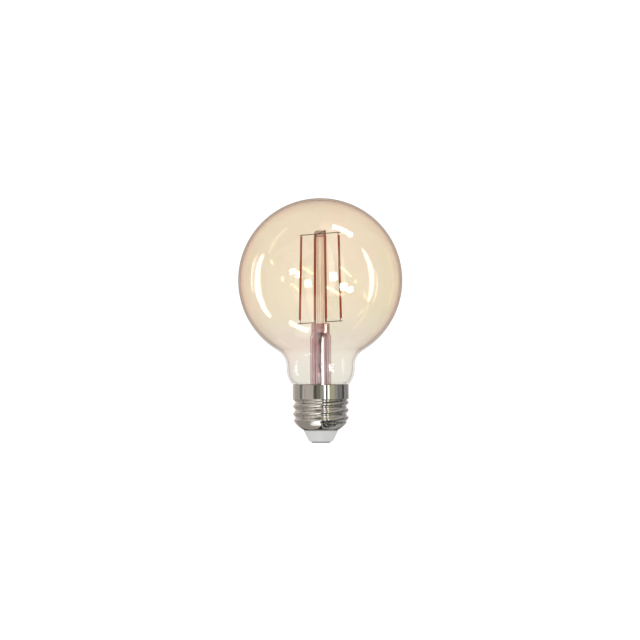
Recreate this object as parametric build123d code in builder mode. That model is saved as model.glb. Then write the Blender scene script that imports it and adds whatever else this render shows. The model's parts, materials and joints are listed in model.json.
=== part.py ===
from build123d import *
import os
from math import atan2, copysign, cos, degrees, radians, sin, sqrt

# Smart filament light bulb: a globe of amber glass, 78 mm across, on an E26 screw base.
# Millimetres. +Z runs along the bulb's axis from the centre contact up to the crown of the globe.
# The origin is the middle of the centre contact's flat underside. -Y is the front of the bulb.

# ---- glass envelope ----
OVERALL_LENGTH = 116.2
GLOBE_RADIUS = 39.0
GLOBE_Z = OVERALL_LENGTH - GLOBE_RADIUS
GLASS_WALL = 0.8
NECK_RADIUS = 16.15
NECK_FILLET_RADIUS = 8.8
TAPER_Z = 35.2
TAPER_RADIUS = 11.5
TAPER_ANGLE = 37.2
SHOULDER_RADIUS = 1.1
SOCKET_FILLET_RADIUS = 0.5
NECK_END_Z = 21.0

# ---- E26 screw shell (round thread, 7 threads per inch) ----
THREAD_PITCH = 25.4 / 7
THREAD_MAJOR_RADIUS = 13.225
THREAD_MINOR_RADIUS = 12.13
THREAD_ARC_RADIUS = 1.025
CREST_LAND = 0.1
SHELL_WALL = 0.3
COLLAR_RADIUS = 13.3
COLLAR_BOTTOM_Z = 20.4
SHELL_RIM_Z = 27.65
BOWL_TOP_Z = 10.7
BOWL_BOTTOM_RADIUS = 8.2
BOWL_BOTTOM_Z = 5.95
BOWL_MIDDLE = (10.85, 7.85)
BOWL_SLOPE = 0.71
SHELL_HOLE_RADIUS = 7.6
THREAD_CUT_MARGIN = 0.5
BORE_MARGIN = 0.02
RIM_ROUNDING = 0.12
GROOVE_START_Z = 8.16
GROOVE_TURNS = 3.8

# ---- basing cement, insulator and centre contact ----
CEMENT_BOTTOM_Z = 21.2
CEMENT_TOP_Z = 27.6
INSULATOR_FOOT_RADIUS = 5.65
INSULATOR_FOOT_ROUNDING = 1.6
INSULATOR_RADIUS = 8.1
INSULATOR_WAIST_RADIUS = 7.55
INSULATOR_FLANGE_RADIUS = 9.1
INSULATOR_WELL_RADIUS = 6.5
INSULATOR_FLOOR_Z = 6.2
INSULATOR_TOP_Z = 8.4
CONTACT_RADIUS = 4.5
CONTACT_THICKNESS = 0.45
CONTACT_ROUNDING = 0.2
CONTACT_STUD_RADIUS = 1.5
CONTACT_STUD_TOP_Z = 7.6
CONTACT_BORE_BOTTOM_Z = 2.5

# ---- glass stem ----
STEM_RADIUS = 5.0
STEM_WALL = 0.9
FLARE_TOP_Z = 28.6
STEM_SHOULDER_Z = 50.4
STEM_DOME_HEIGHT = 1.8
PINCH_BOTTOM_Z = 50.0
PINCH_TOP_Z = 56.7
PINCH_WIDTH = 8.75
PINCH_DEPTH = 4.6
PINCH_CORNER = 2.2
PINCH_ROUNDING = 0.5
EXHAUST_RADIUS = 1.75
EXHAUST_WALL = 0.75
EXHAUST_TIP_Z = 33.0
EXHAUST_TOP_Z = 52.5
EXHAUST_PORT_RADIUS = 0.6
EXHAUST_PORT_Z = 53.3
ROD_RADIUS = 1.7
ROD_FOOT_Z = 54.2
BEAD_RADIUS = 2.75
BEAD_BOTTOM_Z = 97.9
BEAD_SHOULDER_Z = 99.6
BEAD_DOME_HEIGHT = 1.2
BEAD_ROUNDING = 0.5
BEAD_SOCKET_DEPTH = 0.6

# ---- filament cage ----
CAGE_ANGLES = (15, 105, 195, 285)
CAGE_TOP_RADIUS = 9.2
CAGE_BOTTOM_RADIUS = 10.1
CAGE_LEAN_ANGLE = -30
UPPER_WIRE_Z = 99.3
LOWER_WIRE_Z = 57.25
UPPER_WIRE_TILT = 1.0
LOWER_WIRE_TILT = 0.85
SUPPORT_WIRE_RADIUS = 0.22
SUPPORT_WIRE_OVERHANG = 0.8
SUPPORT_WIRE_BEND = 0.35
WIRE_GAP = 0.01
LEAD_WIRE_X = 2.6
LEAD_WIRE_RADIUS = 0.3
LEAD_WIRE_BOTTOM_Z = 11.2
FILAMENT_BOTTOM_Z = 58.75
FILAMENT_LENGTH = 39.6
FILAMENT_SHIFT = 0.5
COAT_WIDTH = 1.15
COAT_DEPTH = 1.0
COAT_CORNER = 0.42
SUBSTRATE_WIDTH = 0.7
SUBSTRATE_DEPTH = 0.3
SUBSTRATE_OVERHANG = 0.2
CHIP_COUNT = 28
CHIP_PITCH = 1.36
CHIP_LENGTH = 0.6
CHIP_WIDTH = 0.3
CHIP_DEPTH = 0.12
TAB_WIDTH = 0.9
TAB_DEPTH = 0.2
TAB_OVERHANG = 0.4

# ---- insulating sleeve and circuit boards in the base ----
SLEEVE_OUTER_RADIUS = 11.6
SLEEVE_INNER_RADIUS = 10.9
SLEEVE_BOTTOM_Z = 10.1
SLEEVE_TOP_Z = 20.7
LEDGE_INNER_RADIUS = 10.2
LEDGE_HEIGHT = 0.8
BOARD_RADIUS = 10.8
BOARD_BOTTOM_Z = 12.0
BOARD_TOP_Z = 13.0
WIRE_HOLE_RADIUS = 0.36
RADIO_THICKNESS = 0.8
RADIO_WIDTH = 13.0
RADIO_SHOULDER_Z = 20.0
RADIO_TOP_Z = 27.0
TONGUE_WIDTH = 6.8
ANTENNA_BARS = 7
ANTENNA_BAR_PITCH = 0.85
ANTENNA_BAR_WIDTH = 0.35
ANTENNA_HEIGHT = 4.6
ANTENNA_Z = 23.8
ANTENNA_THICKNESS = 0.08

# ---- components ----
CAPACITOR_X = -6.7
CAPACITOR_RADIUS = 3.15
CAPACITOR_LENGTH = 8.4
CAPACITOR_Z = BOARD_TOP_Z + CAPACITOR_RADIUS + 0.1
CAPACITOR_CRIMP = 0.35
BUNG_RADIUS = 2.6
BUNG_DEPTH = 1.4
CAPACITOR_LEAD_GAP = 1.25
CAPACITOR_LEAD_RADIUS = 0.25
CAPACITOR_LEAD_REACH = 0.9
CAPACITOR_LEAD_BEND = 0.4
VENT_WIDTH = 0.2
CHOKE_X = 6.0
CHOKE_Y = -4.4
CHOKE_RADIUS = 2.9
CHOKE_WAIST_RADIUS = 1.3
CHOKE_WINDING_RADIUS = 2.5
CHOKE_HEIGHT = 5.0
CHOKE_FLANGE = 0.8
FUSE_Y = -4.6
FUSE_Z = 10.5
FUSE_RADIUS = 1.2
FUSE_WAIST = 0.25
FUSE_LENGTH = 6.4
FUSE_CAP_LENGTH = 1.4
FUSE_LEAD_RADIUS = 0.3
FUSE_LEAD_REACH = 1.2
FUSE_LEAD_BEND = 0.5
VARISTOR_X = 6.6
VARISTOR_Y = 0.2
VARISTOR_RADIUS = 2.4
VARISTOR_THICKNESS = 1.6
VARISTOR_ROUNDING = 0.4
MAINS_WIRE_RADIUS = 0.4
LIVE_WIRE_Z = 9.1
LIVE_WIRE_REACH = 1.8
LIVE_WIRE_BEND = 0.6
NEUTRAL_WIRE_X = -8.6
NEUTRAL_WIRE_Z = 9.3
NEUTRAL_WIRE_END_X = -11.3
NEUTRAL_WIRE_BEND = 0.8
SOLDER_RADIUS = 0.75
PIN_WIDTH = 0.4
PIN_REACH = 0.8
PIN_THICKNESS = 0.2
DRIVER_CHIP_LENGTH = 2.0
DRIVER_CHIP_WIDTH = 1.25
DRIVER_CHIP_HEIGHT = 0.6
RADIO_CHIP_Z = 16.4
RADIO_CHIP_PARTS_Y = 4.6
RADIO_PART_PITCH = 1.5
RADIO_PART_LENGTH = 1.0
RADIO_PART_WIDTH = 0.6
RADIO_PART_HEIGHT = 0.4

# faces that components stand on; the underside's Y runs towards the bulb's -Y
BOARD_TOP = Plane.XY.offset(BOARD_TOP_Z)
BOARD_UNDERSIDE = Plane((0, 0, BOARD_BOTTOM_Z), x_dir=(1, 0, 0), z_dir=(0, 0, -1))
RADIO_FACE = Plane.YZ.offset(RADIO_THICKNESS / 2)

# name: face, place on it, length, width, height, corner rounding
COMPONENT_BODIES = {
    "film_capacitor": (BOARD_TOP, 6.2, 4.6, 4.8, 2.8, 5.5, 0.5),
    "bridge_rectifier": (BOARD_UNDERSIDE, 4.8, -3.8, 4.7, 3.9, 1.6, 0.2),
    "driver_ic": (BOARD_UNDERSIDE, -4.6, -3.8, 4.9, 3.9, 1.45, 0.2),
    "mosfet": (BOARD_UNDERSIDE, 0, -7.9, 2.9, 1.4, 1.1, 0.15),
    "radio_chip": (RADIO_FACE, 0, RADIO_CHIP_Z, 5.0, 5.0, 0.85, 0.2),
    "radio_crystal": (RADIO_FACE, 4.6, RADIO_CHIP_Z, 2.0, 2.5, 0.6, 0.2),
}

# place under the driver board, body width, pins a side, pin pitch
PINNED_PACKAGES = (
    (4.8, -3.8, 3.9, 2, 2.5),
    (-4.6, -3.8, 3.9, 4, 1.27),
    (0, -7.9, 1.4, 2, 1.9),
)

# places of the chip resistors and capacitors under the driver board
DRIVER_CHIP_PLACES = ((8.0, 1.3), (7.6, 4.0), (-7.6, 2.8), (0, 7.8), (3.2, 7.6), (-3.2, 7.6), (0, -2.6))


def save(part, name):
    """Names a finished piece and writes it as its own STEP file."""
    part.label = name
    export_step(part, f"parts/{name}.step")


def polar(radius, angle, z):
    """A point at a distance and a bearing (degrees from +X) round the bulb's axis."""
    return (radius * cos(radians(angle)), radius * sin(radians(angle)), z)


def lean(angle):
    """The filament cage stands slightly crooked: its rise at a bearing, from -1 to 1."""
    return cos(radians(angle - CAGE_LEAN_ANGLE))


def draw_dome(radius, foot_z, rise):
    """Draws half the section of a spherical dome, from its foot to the axis; a negative rise points down."""
    sphere_radius = (radius**2 + rise**2) / (2 * rise)
    centre_z = foot_z + rise - sphere_radius
    foot_angle = degrees(atan2(foot_z - centre_z, radius))
    CenterArc((0, centre_z), abs(sphere_radius), foot_angle, copysign(90, rise) - foot_angle)


def make_wire(radius, route, bend=None):
    """A round wire along straight runs, joined by bends of one radius."""
    with BuildPart() as wire:
        with BuildLine() as path:
            if bend is None:
                Polyline(*route)
            else:
                FilletPolyline(*route, radius=bend)
        with BuildSketch(Plane(path.line @ 0, z_dir=path.line % 0)):
            Circle(radius)
        sweep(path=path.line)
    return wire.part


# ======================= glass envelope =======================

def envelope_outline(inset):
    """One face of the glass, from the crown to the neck's open end, moved inwards by inset."""
    globe_radius = GLOBE_RADIUS - inset
    neck_radius = NECK_RADIUS - inset
    fillet_radius = NECK_FILLET_RADIUS + inset
    fillet_x = neck_radius + fillet_radius
    fillet_drop = sqrt((globe_radius + fillet_radius) ** 2 - fillet_x**2)
    turn = degrees(atan2(fillet_drop, fillet_x))
    CenterArc((0, GLOBE_Z), globe_radius, 90, -(90 + turn))
    fillet_arc = CenterArc((fillet_x, GLOBE_Z - fillet_drop), fillet_radius, 180 - turn, turn)
    Line(fillet_arc @ 1, (neck_radius, TAPER_Z))
    taper = CenterArc((NECK_RADIUS - TAPER_RADIUS, TAPER_Z), TAPER_RADIUS - inset, 0, -TAPER_ANGLE)
    shoulder = JernArc(taper @ 1, taper % 1, SHOULDER_RADIUS - inset, TAPER_ANGLE - 90)
    socket = JernArc(shoulder @ 1, (-1, 0), SOCKET_FILLET_RADIUS + inset, 90)
    end = Line(socket @ 1, ((socket @ 1).X, NECK_END_Z))
    return end @ 1


def make_glass_envelope():
    """The blown globe and its neck, with an even wall, open at the bottom."""
    with BuildPart() as glass_envelope:
        with BuildSketch(Plane.XZ):
            with BuildLine():
                outer_end = envelope_outline(0)
                inner_end = envelope_outline(GLASS_WALL)
                Line(outer_end, inner_end)
                Line((0, OVERALL_LENGTH), (0, OVERALL_LENGTH - GLASS_WALL))
            make_face()
        revolve(axis=Axis.Z)
    return glass_envelope.part


def neck_inner_radius():
    """Radius of the neck's bore where the stem's flare is fused into it."""
    taper_end = NECK_RADIUS - TAPER_RADIUS + TAPER_RADIUS * cos(radians(TAPER_ANGLE))
    shoulder_end = taper_end - SHOULDER_RADIUS * cos(radians(TAPER_ANGLE))
    return shoulder_end - SOCKET_FILLET_RADIUS - GLASS_WALL


# ======================= screw base =======================

def helical_sweep_plane(path):
    """The plane across a helix at its start, with its X pointing away from the bulb's axis."""
    start = path @ 0
    return Plane(origin=start, x_dir=(start.X, start.Y, 0), z_dir=path % 0)


def crest_land_radius():
    """Radius of the narrow land that is left along the thread's rounded crest."""
    return THREAD_MAJOR_RADIUS - THREAD_ARC_RADIUS + sqrt(THREAD_ARC_RADIUS**2 - CREST_LAND**2)


def make_thread_groove():
    """The helical groove that is rolled into the outside of the shell, below the collar."""
    crest_centre = THREAD_MAJOR_RADIUS - THREAD_ARC_RADIUS
    root_centre = THREAD_MINOR_RADIUS + THREAD_ARC_RADIUS
    middle_x = (crest_centre + root_centre) / 2 - THREAD_MINOR_RADIUS
    middle_y = THREAD_PITCH / 4
    land_x = crest_land_radius() - THREAD_MINOR_RADIUS
    land_y = THREAD_PITCH / 2 - CREST_LAND
    outside_x = COLLAR_RADIUS + THREAD_CUT_MARGIN - THREAD_MINOR_RADIUS
    with BuildPart() as thread_groove:
        with BuildLine(Plane((0, 0, GROOVE_START_Z), x_dir=(-1, 0, 0))) as path:
            Helix(THREAD_PITCH, GROOVE_TURNS * THREAD_PITCH, THREAD_MINOR_RADIUS)
        with BuildSketch(helical_sweep_plane(path.line)):
            with BuildLine():
                ThreePointArc((middle_x, -middle_y), (0, 0), (middle_x, middle_y))
                for end in (-1, 1):
                    RadiusArc((middle_x, end * middle_y), (land_x, end * land_y), -end * THREAD_ARC_RADIUS)
                    Line((land_x, end * land_y), (outside_x, end * land_y))
                Line((outside_x, -land_y), (outside_x, land_y))
            make_face()
        sweep(path=path.line, is_frenet=True)
        split(bisect_by=Plane.XY.offset(COLLAR_BOTTOM_Z), keep=Keep.BOTTOM)
    return thread_groove.part


def shell_outline(inset):
    """Draws half the section of the shell below its collar, without the thread, moved in by inset."""
    crest = crest_land_radius() - inset
    bottom = BOWL_BOTTOM_Z + inset
    middle = (BOWL_MIDDLE[0] - BOWL_SLOPE * inset, BOWL_MIDDLE[1] + BOWL_SLOPE * inset)
    Line((0, bottom), (BOWL_BOTTOM_RADIUS, bottom))
    ThreePointArc((BOWL_BOTTOM_RADIUS, bottom), middle, (crest, BOWL_TOP_Z))
    Polyline((crest, BOWL_TOP_Z), (crest, COLLAR_BOTTOM_Z), (0, COLLAR_BOTTOM_Z), (0, bottom))


def make_crest_ridge():
    """The helical hollow behind the thread's crests, cut off where the bowl curves in."""
    bore = THREAD_MINOR_RADIUS - SHELL_WALL
    crest_arc = THREAD_ARC_RADIUS - SHELL_WALL
    root_arc = THREAD_ARC_RADIUS + SHELL_WALL
    crest_centre = THREAD_MAJOR_RADIUS - THREAD_ARC_RADIUS
    root_centre = THREAD_MINOR_RADIUS + THREAD_ARC_RADIUS
    share = crest_arc / (2 * THREAD_ARC_RADIUS)
    join_x = crest_centre + share * (root_centre - crest_centre) - bore
    join_y = share * THREAD_PITCH / 2
    crest_x = THREAD_MAJOR_RADIUS - SHELL_WALL - bore
    land_x = root_centre - sqrt(root_arc**2 - CREST_LAND**2) - bore
    land_y = THREAD_PITCH / 2 - CREST_LAND
    inside_x = -THREAD_CUT_MARGIN
    with BuildPart() as crest_ridge:
        with BuildLine(Plane((0, 0, GROOVE_START_Z - THREAD_PITCH / 2), x_dir=(-1, 0, 0))) as path:
            Helix(THREAD_PITCH, (GROOVE_TURNS + 1) * THREAD_PITCH, bore)
        with BuildSketch(helical_sweep_plane(path.line)):
            with BuildLine():
                ThreePointArc((join_x, -join_y), (crest_x, 0), (join_x, join_y))
                for end in (-1, 1):
                    RadiusArc((join_x, end * join_y), (land_x, end * land_y), end * root_arc)
                    Line((land_x, end * land_y), (inside_x, end * land_y))
                Line((inside_x, -land_y), (inside_x, land_y))
            make_face()
        sweep(path=path.line, is_frenet=True)
        with BuildSketch(Plane.XZ):
            with BuildLine():
                shell_outline(SHELL_WALL)
            make_face()
        revolve(axis=Axis.Z, mode=Mode.INTERSECT)
    return crest_ridge.part


def make_shell_bore():
    """The plain hollow inside the thread's roots and the bowl, below the collar."""
    with BuildPart() as shell_bore:
        with BuildSketch(Plane.XZ):
            with BuildLine():
                shell_outline(SHELL_WALL)
            make_face()
        revolve(axis=Axis.Z)
        with BuildSketch():
            Circle(THREAD_MINOR_RADIUS - SHELL_WALL + BORE_MARGIN)
        extrude(amount=COLLAR_BOTTOM_Z + SHELL_WALL, mode=Mode.INTERSECT)
    return shell_bore.part


def make_screw_shell():
    """The plated shell: plain collar on top, rolled thread, and a bowl turned in under the insulator."""
    with BuildPart() as screw_shell:
        with BuildSketch(Plane.XZ):
            with BuildLine():
                shell_outline(0)
            make_face()
        revolve(axis=Axis.Z)
        add(make_thread_groove(), mode=Mode.SUBTRACT)
        with BuildSketch(Plane.XY.offset(COLLAR_BOTTOM_Z)):
            Circle(COLLAR_RADIUS)
        extrude(amount=SHELL_RIM_Z - COLLAR_BOTTOM_Z)
        add(make_crest_ridge(), mode=Mode.SUBTRACT)
        add(make_shell_bore(), mode=Mode.SUBTRACT)
        with BuildSketch(Plane.XY.offset(COLLAR_BOTTOM_Z + SHELL_WALL)):
            Circle(COLLAR_RADIUS - SHELL_WALL)
        extrude(amount=SHELL_RIM_Z - COLLAR_BOTTOM_Z, mode=Mode.SUBTRACT)
        with BuildSketch(Plane.XY.offset(COLLAR_BOTTOM_Z - SHELL_WALL)):
            Circle(THREAD_MINOR_RADIUS - SHELL_WALL + BORE_MARGIN)
        extrude(amount=3 * SHELL_WALL, mode=Mode.SUBTRACT)
        with BuildSketch():
            Circle(SHELL_HOLE_RADIUS)
        extrude(amount=BOWL_TOP_Z, mode=Mode.SUBTRACT)
        rim = screw_shell.edges().filter_by(GeomType.CIRCLE).group_by(Axis.Z)[-1]
        fillet(rim, RIM_ROUNDING)
    return screw_shell.part


# ======================= cement, insulator and contact =======================

def make_basing_cement(glass_envelope):
    """The ring of cement that bonds the neck into the collar."""
    with BuildPart() as basing_cement:
        with BuildSketch(Plane.XY.offset(CEMENT_BOTTOM_Z)):
            Circle(COLLAR_RADIUS - SHELL_WALL)
            Circle(neck_inner_radius() + GLASS_WALL, mode=Mode.SUBTRACT)
        extrude(amount=CEMENT_TOP_Z - CEMENT_BOTTOM_Z)
        add(glass_envelope, mode=Mode.SUBTRACT)
    return basing_cement.part


def make_cap_insulator():
    """The white insulator: a cone below the shell, a waist in its hole and a flange inside the bowl."""
    plate_bottom = BOWL_BOTTOM_Z - 0.05
    plate_top = BOWL_BOTTOM_Z + SHELL_WALL + 0.05
    with BuildPart() as cap_insulator:
        with BuildSketch(Plane.XZ):
            with BuildLine():
                Polyline(
                    (CONTACT_STUD_RADIUS, CONTACT_THICKNESS),
                    (INSULATOR_FOOT_RADIUS, CONTACT_THICKNESS),
                    (INSULATOR_RADIUS, plate_bottom - 0.3),
                    (INSULATOR_RADIUS - 0.1, plate_bottom),
                    (INSULATOR_WAIST_RADIUS, plate_bottom),
                    (INSULATOR_WAIST_RADIUS, plate_top),
                    (BOWL_BOTTOM_RADIUS, plate_top),
                    (INSULATOR_FLANGE_RADIUS, plate_top + 0.7),
                    (INSULATOR_FLANGE_RADIUS, INSULATOR_TOP_Z),
                    (INSULATOR_WELL_RADIUS, INSULATOR_TOP_Z),
                    (INSULATOR_WELL_RADIUS, INSULATOR_FLOOR_Z),
                    (CONTACT_STUD_RADIUS, INSULATOR_FLOOR_Z),
                    close=True,
                )
            make_face()
        revolve(axis=Axis.Z)
        foot = cap_insulator.edges().filter_by(GeomType.CIRCLE).group_by(Axis.Z)[0]
        fillet(foot.sort_by(SortBy.RADIUS)[-1], INSULATOR_FOOT_ROUNDING)
    return cap_insulator.part


def make_centre_contact():
    """The contact plate with its hollow stud, which goes up through the insulator."""
    with BuildPart() as centre_contact:
        with BuildSketch():
            Circle(CONTACT_RADIUS)
        extrude(amount=CONTACT_THICKNESS)
        fillet(centre_contact.edges().group_by(Axis.Z)[0], CONTACT_ROUNDING)
        with BuildSketch(Plane.XY.offset(CONTACT_THICKNESS)):
            Circle(CONTACT_STUD_RADIUS)
        extrude(amount=CONTACT_STUD_TOP_Z - CONTACT_THICKNESS)
        with BuildSketch(Plane.XY.offset(CONTACT_BORE_BOTTOM_Z)):
            Circle(MAINS_WIRE_RADIUS)
        extrude(amount=CONTACT_STUD_TOP_Z, mode=Mode.SUBTRACT)
    return centre_contact.part


# ======================= glass stem =======================

def make_stem_tube():
    """The stem: a flare fused into the neck, a tube, and the flat pinch that seals the wires."""
    rim_radius = neck_inner_radius()
    bore = STEM_RADIUS - STEM_WALL
    outer_arc = rim_radius - STEM_RADIUS
    inner_arc = rim_radius - bore
    bore_end_z = STEM_SHOULDER_Z - STEM_WALL
    with BuildPart() as stem_tube:
        with BuildSketch(Plane.XZ):
            with BuildLine():
                CenterArc((rim_radius, FLARE_TOP_Z), outer_arc, 180, 90)
                Line((STEM_RADIUS, FLARE_TOP_Z), (STEM_RADIUS, STEM_SHOULDER_Z))
                draw_dome(STEM_RADIUS, STEM_SHOULDER_Z, STEM_DOME_HEIGHT)
                Line((0, STEM_SHOULDER_Z + STEM_DOME_HEIGHT), (0, bore_end_z + STEM_DOME_HEIGHT))
                draw_dome(bore, bore_end_z, STEM_DOME_HEIGHT)
                Line((bore, bore_end_z), (bore, FLARE_TOP_Z))
                CenterArc((rim_radius, FLARE_TOP_Z), inner_arc, 180, 90)
                Line((rim_radius, FLARE_TOP_Z - inner_arc), (rim_radius, FLARE_TOP_Z - outer_arc))
            make_face()
        revolve(axis=Axis.Z)
        with BuildSketch(Plane.XY.offset(PINCH_TOP_Z)):
            RectangleRounded(PINCH_WIDTH, PINCH_DEPTH, PINCH_CORNER)
        extrude(amount=PINCH_BOTTOM_Z - PINCH_TOP_Z)
        fillet(stem_tube.edges().group_by(Axis.Z)[-1], PINCH_ROUNDING)
        with BuildSketch(Plane.XY.offset(PINCH_BOTTOM_Z)):
            Circle(EXHAUST_RADIUS)
        extrude(amount=EXHAUST_TOP_Z - PINCH_BOTTOM_Z, mode=Mode.SUBTRACT)
        with BuildSketch(Plane.XY.offset(EXHAUST_TOP_Z)):
            Circle(EXHAUST_RADIUS - EXHAUST_WALL)
        extrude(amount=EXHAUST_PORT_Z - EXHAUST_TOP_Z, mode=Mode.SUBTRACT)
        with BuildSketch(Plane((0, 0, EXHAUST_PORT_Z), z_dir=(0, 1, 0))):
            Circle(EXHAUST_PORT_RADIUS)
        extrude(amount=PINCH_DEPTH, mode=Mode.SUBTRACT)
        with BuildSketch(Plane.XY.offset(ROD_FOOT_Z)):
            Circle(ROD_RADIUS)
        extrude(amount=PINCH_TOP_Z - ROD_FOOT_Z, mode=Mode.SUBTRACT)
        with BuildSketch(Plane.XY.offset(PINCH_BOTTOM_Z)):
            with Locations((-LEAD_WIRE_X, 0), (LEAD_WIRE_X, 0)):
                Circle(LEAD_WIRE_RADIUS)
        extrude(amount=PINCH_TOP_Z - PINCH_BOTTOM_Z, mode=Mode.SUBTRACT)
    return stem_tube.part


def make_exhaust_tube():
    """The tube through which the globe was filled, sealed off to a rounded tip at its lower end."""
    bore = EXHAUST_RADIUS - EXHAUST_WALL
    tip_end_z = EXHAUST_TIP_Z + EXHAUST_RADIUS
    with BuildPart() as exhaust_tube:
        with BuildSketch(Plane.XZ):
            with BuildLine():
                draw_dome(EXHAUST_RADIUS, tip_end_z, -EXHAUST_RADIUS)
                Line((EXHAUST_RADIUS, tip_end_z), (EXHAUST_RADIUS, EXHAUST_TOP_Z))
                Line((EXHAUST_RADIUS, EXHAUST_TOP_Z), (bore, EXHAUST_TOP_Z))
                Line((bore, EXHAUST_TOP_Z), (bore, tip_end_z))
                draw_dome(bore, tip_end_z, -bore)
                Line((0, EXHAUST_TIP_Z + EXHAUST_WALL), (0, EXHAUST_TIP_Z))
            make_face()
        revolve(axis=Axis.Z)
    return exhaust_tube.part


def make_arbor_rod():
    """The solid glass rod that stands in the pinch and carries the bead."""
    with BuildPart() as arbor_rod:
        with BuildSketch(Plane.XY.offset(ROD_FOOT_Z)):
            Circle(ROD_RADIUS)
        extrude(amount=BEAD_BOTTOM_Z + BEAD_SOCKET_DEPTH - ROD_FOOT_Z)
    return arbor_rod.part


def make_arbor_bead(cut_pieces):
    """The glass button on top of the rod, melted round the crossing of the upper support wires."""
    with BuildPart() as arbor_bead:
        with BuildSketch(Plane.XZ):
            with BuildLine():
                Line((0, BEAD_BOTTOM_Z), (BEAD_RADIUS - BEAD_ROUNDING, BEAD_BOTTOM_Z))
                JernArc((BEAD_RADIUS - BEAD_ROUNDING, BEAD_BOTTOM_Z), (1, 0), BEAD_ROUNDING, 90)
                Line((BEAD_RADIUS, BEAD_BOTTOM_Z + BEAD_ROUNDING), (BEAD_RADIUS, BEAD_SHOULDER_Z))
                draw_dome(BEAD_RADIUS, BEAD_SHOULDER_Z, BEAD_DOME_HEIGHT)
                Line((0, BEAD_SHOULDER_Z + BEAD_DOME_HEIGHT), (0, BEAD_BOTTOM_Z))
            make_face()
        revolve(axis=Axis.Z)
        for piece in cut_pieces:
            add(piece, mode=Mode.SUBTRACT)
    return arbor_bead.part


# ======================= wires in the globe =======================

def upper_wire_point(radius, angle, wire_z):
    """A point on a tilted upper support wire that passes the axis at wire_z."""
    rise = UPPER_WIRE_TILT * lean(angle) * radius / CAGE_TOP_RADIUS
    return polar(radius, angle, wire_z + rise)


def make_upper_support_wire(angle, wire_z):
    """A straight wire through the bead, which joins the tops of two opposite filaments."""
    reach = CAGE_TOP_RADIUS + SUPPORT_WIRE_OVERHANG
    ends = (upper_wire_point(-reach, angle, wire_z), upper_wire_point(reach, angle, wire_z))
    return make_wire(SUPPORT_WIRE_RADIUS, ends)


def lower_wire_point(radius, angle):
    """A point on the lower support wires' slightly tilted level."""
    rise = LOWER_WIRE_TILT * lean(angle) * radius / CAGE_BOTTOM_RADIUS
    return polar(radius, angle, LOWER_WIRE_Z + rise)


def make_lead_wire(angle):
    """A straight wire from the driver board, up the stem and through the pinch."""
    top = lower_wire_point(LEAD_WIRE_X, angle)[2] - SUPPORT_WIRE_RADIUS / 2
    x, y, _ = polar(LEAD_WIRE_X, angle, 0)
    return make_wire(LEAD_WIRE_RADIUS, ((x, y, LEAD_WIRE_BOTTOM_Z), (x, y, top)))


def make_lower_support_wire(lead_angle, lead_wire, filament_angles):
    """A bent wire on top of a lead wire, which feeds the lower ends of two filaments."""
    reach = CAGE_BOTTOM_RADIUS + SUPPORT_WIRE_OVERHANG
    first, second = filament_angles
    route = (
        lower_wire_point(reach, first),
        lower_wire_point(LEAD_WIRE_X, lead_angle),
        lower_wire_point(reach, second),
    )
    with BuildPart() as lower_support_wire:
        add(make_wire(SUPPORT_WIRE_RADIUS, route, SUPPORT_WIRE_BEND))
        add(lead_wire, mode=Mode.SUBTRACT)
    return lower_support_wire.part


# ======================= filaments =======================

def filament_frame(angle):
    """Plane across a filament's lower end: Z up along it, X round the bulb, Y towards the axis."""
    shift = FILAMENT_SHIFT * lean(angle)
    bottom = Vector(*polar(CAGE_BOTTOM_RADIUS, angle, FILAMENT_BOTTOM_Z + shift))
    top = Vector(*polar(CAGE_TOP_RADIUS, angle, FILAMENT_BOTTOM_Z + shift + FILAMENT_LENGTH))
    return Plane(bottom, x_dir=(-sin(radians(angle)), cos(radians(angle)), 0), z_dir=top - bottom)


def make_filament_substrate(frame):
    """The glass strip inside a filament."""
    with BuildPart() as filament_substrate:
        with BuildSketch(frame.offset(-SUBSTRATE_OVERHANG)):
            Rectangle(SUBSTRATE_WIDTH, SUBSTRATE_DEPTH)
        extrude(amount=FILAMENT_LENGTH + 2 * SUBSTRATE_OVERHANG)
    return filament_substrate.part


def make_filament_chips(frame):
    """The row of blue LED chips on the strip's outer face."""
    middle = frame.from_local_coords((0, -SUBSTRATE_DEPTH / 2, FILAMENT_LENGTH / 2))
    with BuildPart() as filament_chips:
        with BuildSketch(Plane(middle, x_dir=frame.x_dir, z_dir=-frame.y_dir)):
            with GridLocations(0, CHIP_PITCH, 1, CHIP_COUNT):
                Rectangle(CHIP_WIDTH, CHIP_LENGTH)
        extrude(amount=CHIP_DEPTH)
    return filament_chips.part


def make_filament_coat(frame, filament_substrate, filament_chips):
    """The phosphor silicone moulded round the strip and its chips."""
    with BuildPart() as filament_coat:
        with BuildSketch(frame):
            RectangleRounded(COAT_WIDTH, COAT_DEPTH, COAT_CORNER)
        extrude(amount=FILAMENT_LENGTH)
        add(filament_substrate, mode=Mode.SUBTRACT)
        add(filament_chips, mode=Mode.SUBTRACT)
    return filament_coat.part


def make_filament_tabs(frame, angle, upper_wire, upper_wire_z, lower_wire):
    """The two metal end tabs, each welded round its support wire and just long enough to pass it."""
    top_z = frame.from_local_coords((0, 0, FILAMENT_LENGTH)).Z
    top_reach = upper_wire_point(CAGE_TOP_RADIUS, angle, upper_wire_z)[2] - top_z + TAB_OVERHANG
    bottom_reach = frame.origin.Z - lower_wire_point(CAGE_BOTTOM_RADIUS, angle)[2] + TAB_OVERHANG
    with BuildPart() as filament_tabs:
        for start_z, reach in ((FILAMENT_LENGTH, top_reach), (0, -bottom_reach)):
            with BuildSketch(frame.offset(start_z)):
                with Locations((0, (SUBSTRATE_DEPTH + TAB_DEPTH) / 2)):
                    Rectangle(TAB_WIDTH, TAB_DEPTH)
            extrude(amount=reach)
        add(upper_wire, mode=Mode.SUBTRACT)
        add(lower_wire, mode=Mode.SUBTRACT)
    return filament_tabs.part


# ======================= driver sleeve and boards =======================

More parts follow.
